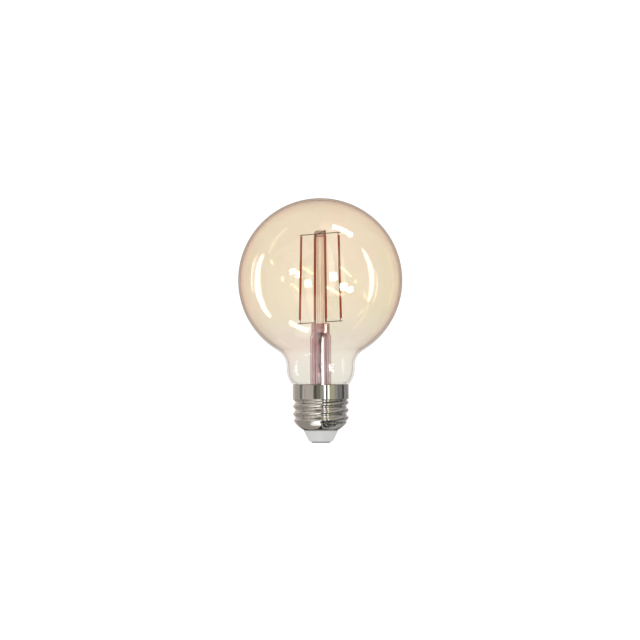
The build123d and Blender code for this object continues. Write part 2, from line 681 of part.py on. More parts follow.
def make_driver_sleeve():
    """The plastic liner that keeps the driver off the live shell, with a ledge under the board."""
    with BuildPart() as driver_sleeve:
        with BuildSketch(Plane.XY.offset(SLEEVE_BOTTOM_Z)):
            Circle(SLEEVE_OUTER_RADIUS)
            Circle(SLEEVE_INNER_RADIUS, mode=Mode.SUBTRACT)
        extrude(amount=SLEEVE_TOP_Z - SLEEVE_BOTTOM_Z)
        with BuildSketch(Plane.XY.offset(BOARD_BOTTOM_Z - LEDGE_HEIGHT)):
            Circle(SLEEVE_INNER_RADIUS)
            Circle(LEDGE_INNER_RADIUS, mode=Mode.SUBTRACT)
        extrude(amount=LEDGE_HEIGHT)
    return driver_sleeve.part


def make_driver_board():
    """The round driver board, drilled for the two lead wires."""
    with BuildPart() as driver_board:
        with BuildSketch(Plane.XY.offset(BOARD_BOTTOM_Z)):
            Circle(BOARD_RADIUS)
            with Locations((-LEAD_WIRE_X, 0), (LEAD_WIRE_X, 0)):
                Circle(WIRE_HOLE_RADIUS, mode=Mode.SUBTRACT)
        extrude(amount=BOARD_TOP_Z - BOARD_BOTTOM_Z)
    return driver_board.part


def make_radio_board():
    """The upright radio board, whose narrow tongue reaches up inside the flare."""
    with BuildPart() as radio_board:
        with BuildSketch(Plane.YZ.offset(-RADIO_THICKNESS / 2)):
            with Locations((0, (BOARD_TOP_Z + RADIO_SHOULDER_Z) / 2)):
                Rectangle(RADIO_WIDTH, RADIO_SHOULDER_Z - BOARD_TOP_Z)
            with Locations((0, (BOARD_TOP_Z + RADIO_TOP_Z) / 2)):
                Rectangle(TONGUE_WIDTH, RADIO_TOP_Z - BOARD_TOP_Z)
        extrude(amount=RADIO_THICKNESS)
    return radio_board.part


def make_antenna_trace():
    """The meandering copper antenna on the tongue."""
    first_bar = -(ANTENNA_BARS - 1) * ANTENNA_BAR_PITCH / 2
    with BuildPart() as antenna_trace:
        with BuildSketch(Plane.YZ.offset(RADIO_THICKNESS / 2)):
            with Locations((0, ANTENNA_Z)):
                with GridLocations(ANTENNA_BAR_PITCH, 0, ANTENNA_BARS, 1):
                    Rectangle(ANTENNA_BAR_WIDTH, ANTENNA_HEIGHT)
            for link in range(ANTENNA_BARS - 1):
                side = 1 if link % 2 else -1
                link_y = first_bar + (link + 0.5) * ANTENNA_BAR_PITCH
                with Locations((link_y, ANTENNA_Z + side * (ANTENNA_HEIGHT - ANTENNA_BAR_WIDTH) / 2)):
                    Rectangle(ANTENNA_BAR_PITCH, ANTENNA_BAR_WIDTH)
        extrude(amount=ANTENNA_THICKNESS)
    return antenna_trace.part


def make_component(face, x, y, length, width, height, rounding):
    """A component's body on a board's face, with its upright edges rounded."""
    with BuildPart() as component:
        with BuildSketch(face):
            with Locations((x, y)):
                RectangleRounded(length, width, rounding)
        extrude(amount=height)
    return component.part


# ======================= components on the boards =======================

def make_capacitor_can():
    """The bulk capacitor's can, lying along Y, open at the front for its rubber bung."""
    front = Plane((CAPACITOR_X, -CAPACITOR_LENGTH / 2, CAPACITOR_Z), x_dir=(1, 0, 0), z_dir=(0, 1, 0))
    with BuildPart() as capacitor_can:
        with BuildSketch(front):
            Circle(CAPACITOR_RADIUS)
        extrude(amount=CAPACITOR_LENGTH)
        fillet(capacitor_can.edges().filter_by(GeomType.CIRCLE), CAPACITOR_CRIMP)
        with BuildSketch(front):
            Circle(BUNG_RADIUS)
        extrude(amount=BUNG_DEPTH, mode=Mode.SUBTRACT)
        with BuildSketch(front.offset(CAPACITOR_LENGTH)):
            Rectangle(CAPACITOR_RADIUS, VENT_WIDTH)
            Rectangle(VENT_WIDTH, CAPACITOR_RADIUS)
        extrude(amount=-VENT_WIDTH, mode=Mode.SUBTRACT)
    return capacitor_can.part


def make_capacitor_bung():
    """The rubber bung in the can's open end."""
    front = Plane((CAPACITOR_X, -CAPACITOR_LENGTH / 2, CAPACITOR_Z), x_dir=(1, 0, 0), z_dir=(0, 1, 0))
    with BuildPart() as capacitor_bung:
        with BuildSketch(front):
            Circle(BUNG_RADIUS)
        extrude(amount=BUNG_DEPTH)
    return capacitor_bung.part


def make_capacitor_leads():
    """The capacitor's two leads, bent down to the board."""
    front_y = -CAPACITOR_LENGTH / 2
    with BuildPart() as capacitor_leads:
        for side in (-1, 1):
            x = CAPACITOR_X + side * CAPACITOR_LEAD_GAP
            route = (
                (x, front_y, CAPACITOR_Z),
                (x, front_y - CAPACITOR_LEAD_REACH, CAPACITOR_Z),
                (x, front_y - CAPACITOR_LEAD_REACH, BOARD_TOP_Z),
            )
            add(make_wire(CAPACITOR_LEAD_RADIUS, route, CAPACITOR_LEAD_BEND))
    return capacitor_leads.part


def make_choke_core():
    """The ferrite bobbin of the choke, standing on the board."""
    with BuildPart() as choke_core:
        with BuildSketch(Plane((CHOKE_X, CHOKE_Y, BOARD_TOP_Z))):
            Circle(CHOKE_WAIST_RADIUS)
        extrude(amount=CHOKE_HEIGHT)
        for flange_z in (BOARD_TOP_Z, BOARD_TOP_Z + CHOKE_HEIGHT - CHOKE_FLANGE):
            with BuildSketch(Plane((CHOKE_X, CHOKE_Y, flange_z))):
                Circle(CHOKE_RADIUS)
            extrude(amount=CHOKE_FLANGE)
    return choke_core.part


def make_choke_winding():
    """The copper winding between the bobbin's flanges."""
    with BuildPart() as choke_winding:
        with BuildSketch(Plane((CHOKE_X, CHOKE_Y, BOARD_TOP_Z + CHOKE_FLANGE))):
            Circle(CHOKE_WINDING_RADIUS)
            Circle(CHOKE_WAIST_RADIUS, mode=Mode.SUBTRACT)
        extrude(amount=CHOKE_HEIGHT - 2 * CHOKE_FLANGE)
    return choke_winding.part


def make_varistor():
    """The surge-absorbing disc, standing on its edge."""
    with BuildPart() as varistor:
        with BuildSketch(Plane((VARISTOR_X, VARISTOR_Y, BOARD_TOP_Z + VARISTOR_RADIUS), z_dir=(0, 1, 0))):
            Circle(VARISTOR_RADIUS)
        extrude(amount=VARISTOR_THICKNESS)
        fillet(varistor.edges().filter_by(GeomType.CIRCLE), VARISTOR_ROUNDING)
    return varistor.part


def make_fuse_resistor():
    """The fusible resistor in the live line: a ceramic barrel with thicker end caps, along X."""
    left_end = Plane((-FUSE_LENGTH / 2, FUSE_Y, FUSE_Z), x_dir=(0, 1, 0), z_dir=(1, 0, 0))
    with BuildPart() as fuse_resistor:
        with BuildSketch(left_end):
            Circle(FUSE_RADIUS - FUSE_WAIST)
        extrude(amount=FUSE_LENGTH)
        for cap_start in (0, FUSE_LENGTH - FUSE_CAP_LENGTH):
            with BuildSketch(left_end.offset(cap_start)):
                Circle(FUSE_RADIUS)
            extrude(amount=FUSE_CAP_LENGTH)
    return fuse_resistor.part


def make_fuse_lead():
    """The resistor's right lead, bent up to the board."""
    lead_x = FUSE_LENGTH / 2 + FUSE_LEAD_REACH
    route = ((FUSE_LENGTH / 2, FUSE_Y, FUSE_Z), (lead_x, FUSE_Y, FUSE_Z), (lead_x, FUSE_Y, BOARD_BOTTOM_Z))
    return make_wire(FUSE_LEAD_RADIUS, route, FUSE_LEAD_BEND)


def make_live_wire():
    """The wire from the fusible resistor down into the contact's stud."""
    turn_x = -FUSE_LENGTH / 2 - LIVE_WIRE_REACH
    route = (
        (-FUSE_LENGTH / 2, FUSE_Y, FUSE_Z),
        (turn_x, FUSE_Y, FUSE_Z),
        (turn_x, FUSE_Y, LIVE_WIRE_Z),
        (0, 0, LIVE_WIRE_Z),
        (0, 0, CONTACT_BORE_BOTTOM_Z),
    )
    return make_wire(MAINS_WIRE_RADIUS, route, LIVE_WIRE_BEND)


def make_neutral_wire():
    """The wire from the board out to the shell's wall, under the sleeve."""
    route = (
        (NEUTRAL_WIRE_X, 0, BOARD_BOTTOM_Z),
        (NEUTRAL_WIRE_X, 0, NEUTRAL_WIRE_Z),
        (NEUTRAL_WIRE_END_X, 0, NEUTRAL_WIRE_Z),
    )
    return make_wire(MAINS_WIRE_RADIUS, route, NEUTRAL_WIRE_BEND)


def make_neutral_solder(neutral_wire):
    """The blob of solder between the neutral wire's end and the shell's wall."""
    with BuildPart() as neutral_solder:
        with Locations((NEUTRAL_WIRE_END_X, 0, NEUTRAL_WIRE_Z)):
            Sphere(SOLDER_RADIUS)
        add(make_shell_bore(), mode=Mode.INTERSECT)
        add(neutral_wire, mode=Mode.SUBTRACT)
    return neutral_solder.part


def make_chip_pins():
    """The solder pins along both sides of each package under the driver board."""
    with BuildPart() as chip_pins:
        with BuildSketch(BOARD_UNDERSIDE):
            for x, y, width, pin_count, pin_pitch in PINNED_PACKAGES:
                for side in (-1, 1):
                    with Locations((x, y + side * (width + PIN_REACH) / 2)):
                        with GridLocations(pin_pitch, 0, pin_count, 1):
                            Rectangle(PIN_WIDTH, PIN_REACH)
        extrude(amount=PIN_THICKNESS)
    return chip_pins.part


def make_chip_parts():
    """The small chip resistors and capacitors, as separate blocks on both boards."""
    with BuildPart() as chip_parts:
        with BuildSketch(BOARD_UNDERSIDE):
            with Locations(*DRIVER_CHIP_PLACES):
                Rectangle(DRIVER_CHIP_LENGTH, DRIVER_CHIP_WIDTH)
        extrude(amount=DRIVER_CHIP_HEIGHT)
        with BuildSketch(RADIO_FACE):
            with Locations((-RADIO_CHIP_PARTS_Y, RADIO_CHIP_Z)):
                with GridLocations(RADIO_PART_PITCH, RADIO_PART_PITCH, 2, 3):
                    Rectangle(RADIO_PART_WIDTH, RADIO_PART_LENGTH)
        extrude(amount=RADIO_PART_HEIGHT)
    return chip_parts.part


# ======================= the whole bulb =======================

def save_envelope_and_base():
    """The glass envelope, the screw base and the cement between them."""
    glass_envelope = make_glass_envelope()
    save(glass_envelope, "glass_envelope")
    save(make_basing_cement(glass_envelope), "basing_cement")
    save(make_screw_shell(), "screw_shell")
    save(make_cap_insulator(), "cap_insulator")
    save(make_centre_contact(), "centre_contact")


def save_stem_and_cage():
    """The glass stem with its wires, and the cage of four filaments."""
    upper_wire_heights = (UPPER_WIRE_Z, UPPER_WIRE_Z + 2 * SUPPORT_WIRE_RADIUS + WIRE_GAP)
    upper_wires = [make_upper_support_wire(*place) for place in zip(CAGE_ANGLES, upper_wire_heights)]
    lead_right = make_lead_wire(0)
    lead_left = make_lead_wire(180)
    lower_right = make_lower_support_wire(0, lead_right, (CAGE_ANGLES[3], CAGE_ANGLES[0]))
    lower_left = make_lower_support_wire(180, lead_left, (CAGE_ANGLES[1], CAGE_ANGLES[2]))
    arbor_rod = make_arbor_rod()
    save(make_stem_tube(), "stem_tube")
    save(make_exhaust_tube(), "exhaust_tube")
    save(arbor_rod, "arbor_rod")
    save(make_arbor_bead([arbor_rod] + upper_wires), "arbor_bead")
    save(upper_wires[0], "upper_support_wire_1")
    save(upper_wires[1], "upper_support_wire_2")
    save(lead_right, "lead_wire_right")
    save(lead_left, "lead_wire_left")
    save(lower_right, "lower_support_wire_right")
    save(lower_left, "lower_support_wire_left")
    for number, angle in enumerate(CAGE_ANGLES, start=1):
        frame = filament_frame(angle)
        substrate = make_filament_substrate(frame)
        chips = make_filament_chips(frame)
        upper = (number + 1) % 2
        lower_wire = lower_left if number in (2, 3) else lower_right
        tabs = make_filament_tabs(frame, angle, upper_wires[upper], upper_wire_heights[upper], lower_wire)
        save(substrate, f"filament_substrate_{number}")
        save(chips, f"filament_chips_{number}")
        save(make_filament_coat(frame, substrate, chips), f"filament_coat_{number}")
        save(tabs, f"filament_tabs_{number}")


def save_driver():
    """The driver and its radio inside the base."""
    neutral_wire = make_neutral_wire()
    save(make_driver_sleeve(), "driver_sleeve")
    save(make_driver_board(), "driver_board")
    save(make_radio_board(), "radio_board")
    save(make_antenna_trace(), "antenna_trace")
    save(make_capacitor_can(), "capacitor_can")
    save(make_capacitor_bung(), "capacitor_bung")
    save(make_capacitor_leads(), "capacitor_leads")
    save(make_choke_core(), "choke_core")
    save(make_choke_winding(), "choke_winding")
    save(make_varistor(), "varistor")
    save(make_fuse_resistor(), "fuse_resistor")
    save(make_fuse_lead(), "fuse_lead")
    save(make_live_wire(), "live_wire")
    save(neutral_wire, "neutral_wire")
    save(make_neutral_solder(neutral_wire), "neutral_solder")
    save(make_chip_pins(), "chip_pins")
    save(make_chip_parts(), "chip_parts")
    for name, body in COMPONENT_BODIES.items():
        save(make_component(*body), name)


os.makedirs("parts", exist_ok=True)
save_envelope_and_base()
save_stem_and_cage()
save_driver()
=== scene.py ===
import json
from math import atan2, cos, degrees, hypot, pi, radians, sin, sqrt

import bmesh
import bpy
from mathutils import Matrix, Vector

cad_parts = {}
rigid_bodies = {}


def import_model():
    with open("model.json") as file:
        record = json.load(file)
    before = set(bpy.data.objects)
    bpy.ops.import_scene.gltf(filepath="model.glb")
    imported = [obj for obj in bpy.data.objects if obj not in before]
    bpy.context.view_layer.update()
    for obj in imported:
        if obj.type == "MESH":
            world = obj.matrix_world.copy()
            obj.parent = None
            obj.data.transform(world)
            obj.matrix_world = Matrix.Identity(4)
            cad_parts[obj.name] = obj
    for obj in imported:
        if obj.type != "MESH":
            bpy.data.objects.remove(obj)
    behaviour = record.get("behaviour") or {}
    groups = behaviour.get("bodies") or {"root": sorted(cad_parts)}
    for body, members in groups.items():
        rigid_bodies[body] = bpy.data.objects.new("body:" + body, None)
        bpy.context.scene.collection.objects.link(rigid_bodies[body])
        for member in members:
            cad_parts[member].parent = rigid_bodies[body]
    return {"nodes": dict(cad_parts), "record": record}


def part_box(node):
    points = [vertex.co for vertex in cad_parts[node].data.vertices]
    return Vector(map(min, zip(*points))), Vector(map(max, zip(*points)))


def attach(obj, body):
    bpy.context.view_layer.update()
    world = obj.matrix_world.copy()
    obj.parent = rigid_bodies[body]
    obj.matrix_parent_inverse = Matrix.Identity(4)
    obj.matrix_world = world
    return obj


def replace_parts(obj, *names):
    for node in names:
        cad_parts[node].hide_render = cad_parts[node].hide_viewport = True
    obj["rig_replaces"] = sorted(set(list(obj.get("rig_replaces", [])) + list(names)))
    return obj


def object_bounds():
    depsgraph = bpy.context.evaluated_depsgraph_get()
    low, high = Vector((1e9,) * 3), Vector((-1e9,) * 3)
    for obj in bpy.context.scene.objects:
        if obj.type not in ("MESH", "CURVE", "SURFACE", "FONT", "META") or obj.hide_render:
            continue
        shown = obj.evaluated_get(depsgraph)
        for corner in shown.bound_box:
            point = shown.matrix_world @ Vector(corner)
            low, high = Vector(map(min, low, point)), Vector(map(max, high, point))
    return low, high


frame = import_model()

# A smart filament bulb: an amber glass globe with four LED filaments on a glass stem, over an E26 screw base.
# The bulb's own sizes and heights are millimetres, and MM turns them into metres. The studio is in metres.
MM = 0.001
SCENE = bpy.context.scene
CAD_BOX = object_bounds()
BULB_LOW, BULB_HIGH = (Vector(corner) for corner in CAD_BOX)
BULB_HEIGHT = BULB_HIGH.z - BULB_LOW.z
GLOBE_CENTRE = Vector((0, 0, BULB_HIGH.z - BULB_HIGH.x))


def corners_mm(node):
    """The lowest and highest corner of a CAD node, in millimetres."""
    low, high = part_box(node)
    return low / MM, high / MM


# ======================= camera =======================

CAMERA_DISTANCE = 2.2
CAMERA_SHIFT = 0.0002
CAMERA_ROLL = 0.3
FRAME_HEIGHT = 2.619 * BULB_HEIGHT
SENSOR_WIDTH = 36.0

camera_data = bpy.data.cameras.new("camera")
camera_data.sensor_width = SENSOR_WIDTH
camera_data.lens = SENSOR_WIDTH * CAMERA_DISTANCE / FRAME_HEIGHT
camera_data.clip_end = 50
camera = bpy.data.objects.new("camera", camera_data)
camera.location = (-CAMERA_SHIFT, -CAMERA_DISTANCE, BULB_HEIGHT / 2 + CAMERA_SHIFT)
camera.rotation_euler = (radians(90), radians(CAMERA_ROLL), 0)
SCENE.collection.objects.link(camera)
SCENE.camera = camera


# ======================= mesh building =======================

def arc(centre_r, centre_z, radius, start, end, steps):
    """Points (r, z) along an arc, by its angles in degrees."""
    angles = [radians(start + (end - start) * i / steps) for i in range(steps + 1)]
    return [(centre_r + radius * cos(a), centre_z + radius * sin(a)) for a in angles]


def smooth_step(low, high, value):
    """Rises from 0 to 1 between low and high, with level ends."""
    share = min(1, max(0, (value - low) / (high - low)))
    return share * share * (3 - 2 * share)


def angles_round(segments):
    """Equal steps once round the bulb's axis, in radians."""
    return [2 * pi * i / segments for i in range(segments)]


def ring(radius_at, z, angles):
    """A ring of points at one height, where radius_at gives the radius at an angle."""
    reaches = [(radius_at(a), a) for a in angles]
    return [(r * cos(a), r * sin(a), z) for r, a in reaches]


def round_ring(radius, z, angles):
    return [(radius * cos(a), radius * sin(a), z) for a in angles]


def skin_loops(loops, closed=False):
    """Joins equal rings of points into one surface. A ring of one point is a pole."""
    built = bmesh.new()
    rings = [[built.verts.new(Vector(point) * MM) for point in loop] for loop in loops]
    pairs = list(zip(rings, rings[1:] + rings[:1])) if closed else list(zip(rings, rings[1:]))
    for lower, upper in pairs:
        count = max(len(lower), len(upper))
        if count == 1:
            continue
        for i in range(count):
            j = (i + 1) % count
            if len(lower) == 1:
                built.faces.new((lower[0], upper[j], upper[i]))
            elif len(upper) == 1:
                built.faces.new((lower[i], lower[j], upper[0]))
            else:
                built.faces.new((lower[i], lower[j], upper[j], upper[i]))
    return built


def lathe(profile, segments, closed=False):
    """Turns a profile of (r, z) points round the bulb's axis. Points on the axis become poles."""
    angles = angles_round(segments)
    loops = [[(0, 0, z)] if r < 1e-6 else round_ring(r, z, angles) for r, z in profile]
    return skin_loops(loops, closed)


def new_piece(name, built, material, replaced):
    """Turns a built surface into a smooth piece that rides on the bulb and stands for CAD nodes."""
    bmesh.ops.recalc_face_normals(built, faces=built.faces)
    mesh = bpy.data.meshes.new(name)
    built.to_mesh(mesh)
    built.free()
    mesh.shade_smooth()
    mesh.materials.append(material)
    piece = bpy.data.objects.new(name, mesh)
    SCENE.collection.objects.link(piece)
    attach(piece, "root")
    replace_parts(piece, *replaced)
    return piece


# ======================= material building =======================

def new_tree(name):
    """A new node material, emptied but for its output."""
    material = bpy.data.materials.new(name)
    material.use_nodes = True
    tree = material.node_tree
    tree.nodes.clear()
    output = tree.nodes.new("ShaderNodeOutputMaterial")
    return material, tree, output


def add_node(tree, kind, settings=None, **inputs):
    """A node with its settings, whose inputs are set to values or linked to sockets.

    An input goes by its name, with _ for a space, or by its place, as i0, i1 and so on.
    """
    node = tree.nodes.new(kind)
    for key, value in (settings or {}).items():
        setattr(node, key, value)
    for key, value in inputs.items():
        by_place = key[0] == "i" and key[1:].isdigit()
        socket = node.inputs[int(key[1:]) if by_place else key.replace("_", " ")]
        if isinstance(value, bpy.types.NodeSocket):
            tree.links.new(value, socket)
        else:
            socket.default_value = value
    return node


def math_node(tree, operation, first, second, clamp=False):
    settings = {"operation": operation, "use_clamp": clamp}
    return add_node(tree, "ShaderNodeMath", settings, i0=first, i1=second).outputs[0]


def rise(tree, value, low, high, least=0.0):
    """Rises evenly from least to 1 while a value goes from low to high, and is level outside them."""
    limits = {"From_Min": low, "From_Max": high, "To_Min": least}
    return add_node(tree, "ShaderNodeMapRange", Value=value, **limits).outputs[0]


def ramp(tree, factor, stops, interpolation="LINEAR"):
    """A colour ramp through (place, colour) stops."""
    node = add_node(tree, "ShaderNodeValToRGB", i0=factor)
    node.color_ramp.interpolation = interpolation
    elements = node.color_ramp.elements
    for place, _ in stops[2:]:
        elements.new(place)
    for element, (place, colour) in zip(elements, stops):
        element.position = place
        element.color = (*colour, 1)
    return node.outputs["Color"]


def mix_colours(tree, factor, first, second, blend="MIX"):
    """Mixes two colours, each of them a socket or (red, green, blue)."""
    first, second = (c if isinstance(c, bpy.types.NodeSocket) else (*c, 1) for c in (first, second))
    settings = {"data_type": "RGBA", "blend_type": blend}
    return add_node(tree, "ShaderNodeMix", settings, i0=factor, i6=first, i7=second).outputs[2]


def multiply(tree, first, second):
    return mix_colours(tree, 1.0, first, second, "MULTIPLY")


def place_on(tree):
    """The point on the object, in metres."""
    return tree.nodes.new("ShaderNodeTexCoord").outputs["Object"]


def coordinate(tree, axis):
    """One coordinate of the point on the object, in metres."""
    return add_node(tree, "ShaderNodeSeparateXYZ", i0=place_on(tree)).outputs[axis]


def rise_with_height(tree, low, high, least=0.0):
    """Rises from least to 1 between two heights in millimetres."""
    return rise(tree, coordinate(tree, "Z"), low * MM, high * MM, least)


def edge_on(tree):
    """How edge-on the surface is seen, from 0 to 1."""
    return add_node(tree, "ShaderNodeLayerWeight", Blend=0.5).outputs["Facing"]


def noise(tree, point, scale, detail):
    return add_node(tree, "ShaderNodeTexNoise", Vector=point, Scale=scale, Detail=detail).outputs[0]


def noise_on(tree, scale, detail=3.0, stretch=(1, 1, 1)):
    """Noise on the object. A small number in stretch draws the pattern out along that axis."""
    point = add_node(tree, "ShaderNodeMapping", Vector=place_on(tree), Scale=stretch).outputs[0]
    return noise(tree, point, scale, detail)


GRAIN_PER_PATCH = 7
BUMP_DEPTH = 0.0001


def surface(name, colours, roughness, metallic=0.0, grain=900.0, stretch=(1, 1, 1), bump=0.05, coat=0.0):
    """A solid material: two colours mixed by a fine grain, an uneven roughness, and a shallow bump."""
    material, tree, output = new_tree(name)
    fine = noise_on(tree, grain, stretch=stretch)
    patches = noise_on(tree, grain / GRAIN_PER_PATCH, 2.0, stretch)
    colour = mix_colours(tree, fine, *colours)
    low, high = roughness
    uneven = add_node(tree, "ShaderNodeMapRange", Value=patches, To_Min=low, To_Max=high).outputs[0]
    relief = add_node(tree, "ShaderNodeBump", Strength=bump, Distance=BUMP_DEPTH, Height=fine).outputs[0]
    shader = add_node(tree, "ShaderNodeBsdfPrincipled", Base_Color=colour, Roughness=uneven, Normal=relief)
    shader.inputs["Metallic"].default_value = metallic
    shader.inputs["Coat Weight"].default_value = coat
    tree.links.new(shader.outputs[0], output.inputs[0])
    return material


WEAK_GLOSS = 0.25


def thin_glass(
    name, tint, gloss_tint, reflectance, edge_reflectance, roughness, paint=None, gloss_heights=None
):
    """Clear glass: it tints what is behind it, more so where it is seen edge-on, and reflects on top.

    tint and gloss_tint are ramps over how edge-on the surface is. paint may change the tint.
    Below the first of gloss_heights the reflection is weak, and above the second it is whole.
    """
    material, tree, output = new_tree(name)
    slant = edge_on(tree)
    colour = ramp(tree, slant, tint)
    if paint:
        colour = paint(tree, colour)
    clear = add_node(tree, "ShaderNodeBsdfTransparent", Color=colour)
    shine = add_node(tree, "ShaderNodeBsdfGlossy", Color=ramp(tree, slant, gloss_tint), Roughness=roughness)
    grazing = math_node(tree, "POWER", slant, 5.0)
    gain = math_node(tree, "MULTIPLY", grazing, edge_reflectance - reflectance)
    share = math_node(tree, "ADD", gain, reflectance, clamp=True)
    if gloss_heights:
        share = math_node(tree, "MULTIPLY", share, rise_with_height(tree, *gloss_heights, least=WEAK_GLOSS))
    both = add_node(tree, "ShaderNodeMixShader", i0=share, i1=clear.outputs[0], i2=shine.outputs[0])
    tree.links.new(both.outputs[0], output.inputs[0])
    return material


# ======================= amber glass =======================

GLOBE_RADIUS = 38.99
GLASS_WALL = 0.8
COAT_HEIGHTS = (45, 60)
PALE_HEIGHTS = (30, 68)
PALE_SHARE = 0.75
GLOSS_HEIGHTS = (42, 50)
AMBER_TINT = [
    (0.0, (0.9465, 0.880, 0.765)),
    (0.5, (0.9465, 0.880, 0.765)),
    (0.64, (0.960, 0.875, 0.768)),
    (0.75, (0.962, 0.850, 0.777)),
    (0.80, (0.82, 0.74, 0.66)),
    (0.9, (0.66, 0.59, 0.52)),
    (1.0, (0.35, 0.30, 0.26)),
]
INSIDE_TINT = [
    (0.0, (0.990, 0.985, 0.980)),
    (0.7, (0.980, 0.965, 0.95)),
    (0.85, (0.96, 0.94, 0.92)),
    (1.0, (0.85, 0.81, 0.78)),
]
NECK_TINT = [
    (0.0, (0.922, 0.919, 0.914)),
    (0.5, (0.919, 0.916, 0.911)),
    (0.75, (0.87, 0.87, 0.86)),
    (0.88, (0.78, 0.775, 0.76)),
    (1.0, (0.42, 0.41, 0.39)),
]
CLOUDS = [(0.34, (0.992, 1.0, 0.985)), (0.5, (1.0, 1.0, 1.0)), (0.66, (1.0, 0.985, 0.99))]
AMBER_GLOSS = [
    (0.0, (1.0, 1.0, 1.0)),
    (0.7, (1.0, 0.95, 0.90)),
    (0.88, (0.7, 0.63, 0.58)),
    (1.0, (0.2, 0.17, 0.15)),
]


def paint_amber(tree, tint):
    """The amber coat is on the outside face, thins out towards the neck, and drifts between pink and green."""
    settings = {"operation": "DISTANCE"}
    reach = add_node(tree, "ShaderNodeVectorMath", settings, i0=place_on(tree), i1=tuple(GLOBE_CENTRE))
    outside = math_node(tree, "GREATER_THAN", reach.outputs["Value"], (GLOBE_RADIUS - GLASS_WALL / 2) * MM)
    side = math_node(tree, "SUBTRACT", outside, 0.5)
    on_globe = rise_with_height(tree, *COAT_HEIGHTS)
    coated = math_node(tree, "ADD", math_node(tree, "MULTIPLY", on_globe, side), 0.5)
    slant = edge_on(tree)
    tint = mix_colours(tree, coated, ramp(tree, slant, INSIDE_TINT), tint)
    paled = mix_colours(tree, PALE_SHARE, tint, ramp(tree, slant, NECK_TINT))
    kept = mix_colours(tree, rise_with_height(tree, *PALE_HEIGHTS), paled, tint)
    return multiply(tree, kept, ramp(tree, noise_on(tree, 45.0, 2.0), CLOUDS))


amber_glass = thin_glass(
    "amber_glass", AMBER_TINT, AMBER_GLOSS, 0.045, 0.5, 0.05, paint_amber, GLOSS_HEIGHTS
)


# ======================= clear glass =======================

PRESSED_HEIGHTS = (50, 53)
PRESSED_SHADE = (0.79, 0.67, 0.70)
# Half the width of the painted streak of shade down one side of the stem and exhaust tube.
SHADE_STREAK_HALF_WIDTH = 2.2
EXHAUST_TIP_HEIGHTS = (32.5, 34.5)
STREAKS = [(0.36, (0.90, 0.85, 0.87)), (0.5, (1.0, 1.0, 1.0)), (0.66, (1.0, 0.96, 0.98))]
ROD_LINES = [(0.40, (0.90, 0.86, 0.84)), (0.5, (1.0, 0.98, 0.96)), (0.6, (1.03, 1.02, 1.0))]


def paint_stem(tree, tint):
    """Drawn glass has faint streaks along its length, and the hot-pressed pinch on top is darker."""
    streaks = ramp(tree, noise_on(tree, 1100.0, stretch=(1, 1, 0.03)), STREAKS)
    streaked = multiply(tree, tint, streaks)
    return mix_colours(
        tree, rise_with_height(tree, *PRESSED_HEIGHTS), streaked, multiply(tree, streaked, PRESSED_SHADE)
    )


def paint_rod(tree, tint):
    """The rod's drawn skin bends the light in fine lines along its length."""
    return multiply(tree, tint, ramp(tree, noise_on(tree, 1900.0, 2.0, (1, 1, 0.01)), ROD_LINES))


def add_painted_shade_streak(tree, tint, shade_colour):
    """Darkens a tint with a painted streak of shade down one side of the stem's inside."""
    half_width = SHADE_STREAK_HALF_WIDTH * MM
    across = rise(tree, coordinate(tree, "X"), -half_width, half_width)
    # Painted shade: a grey band across one side, white outside it.
    shade_streak = ramp(tree, across, [(0.06, (1, 1, 1)), (0.14, shade_colour), (0.62, shade_colour), (0.68, (1, 1, 1))])
    return multiply(tree, tint, shade_streak)


# Paints a streak of shade down one side of the exhaust tube.
def paint_exhaust(tree, tint):
    return add_painted_shade_streak(tree, tint, (0.84, 0.84, 0.86))


def paint_bore(tree, tint):
    """Below the exhaust tube's tip, the painted shade streak lies on the stem's own wall."""
    drawn = paint_stem(tree, tint)
    above = rise_with_height(tree, *EXHAUST_TIP_HEIGHTS)
    return mix_colours(tree, above, add_painted_shade_streak(tree, drawn, (0.74, 0.74, 0.76)), drawn)


STEM_TINT = [
    (0.0, (0.92, 0.855, 0.88)),
    (0.5, (0.91, 0.845, 0.87)),
    (0.85, (0.84, 0.75, 0.78)),
    (1.0, (0.72, 0.62, 0.66)),
]
BORE_TINT = [
    (0.0, (0.97, 0.94, 0.95)),
    (0.5, (0.95, 0.91, 0.93)),
    (0.85, (0.88, 0.82, 0.85)),
    (1.0, (0.74, 0.66, 0.70)),
]
EXHAUST_TINT = [
    (0.0, (0.90, 0.89, 0.88)),
    (0.5, (0.88, 0.87, 0.86)),
    (0.85, (0.76, 0.74, 0.73)),
    (1.0, (0.6, 0.58, 0.57)),
]
ROD_TINT = [
    (0.0, (0.97, 0.95, 0.94)),
    (0.2, (0.96, 0.92, 0.91)),
    (0.5, (0.96, 0.84, 0.80)),
    (1.0, (0.80, 0.60, 0.55)),
]
BEAD_TINT = [(0.0, (0.80, 0.70, 0.70)), (0.5, (0.74, 0.62, 0.62)), (1.0, (0.60, 0.48, 0.49))]
CLEAR_GLOSS = [(0.0, (1.0, 1.0, 1.0)), (0.85, (0.92, 0.86, 0.88)), (1.0, (0.6, 0.5, 0.53))]
stem_glass = thin_glass("stem_glass", STEM_TINT, CLEAR_GLOSS, 0.07, 0.4, 0.06, paint_stem)
bore_glass = thin_glass("bore_glass", BORE_TINT, CLEAR_GLOSS, 0.04, 0.3, 0.08, paint_bore)
exhaust_glass = thin_glass("exhaust_glass", EXHAUST_TINT, CLEAR_GLOSS, 0.06, 0.4, 0.06, paint_exhaust)
rod_glass = thin_glass("rod_glass", ROD_TINT, CLEAR_GLOSS, 0.07, 0.4, 0.05, paint_rod)
bead_glass = thin_glass("bead_glass", BEAD_TINT, CLEAR_GLOSS, 0.08, 0.5, 0.08)


# ======================= glass envelope =======================

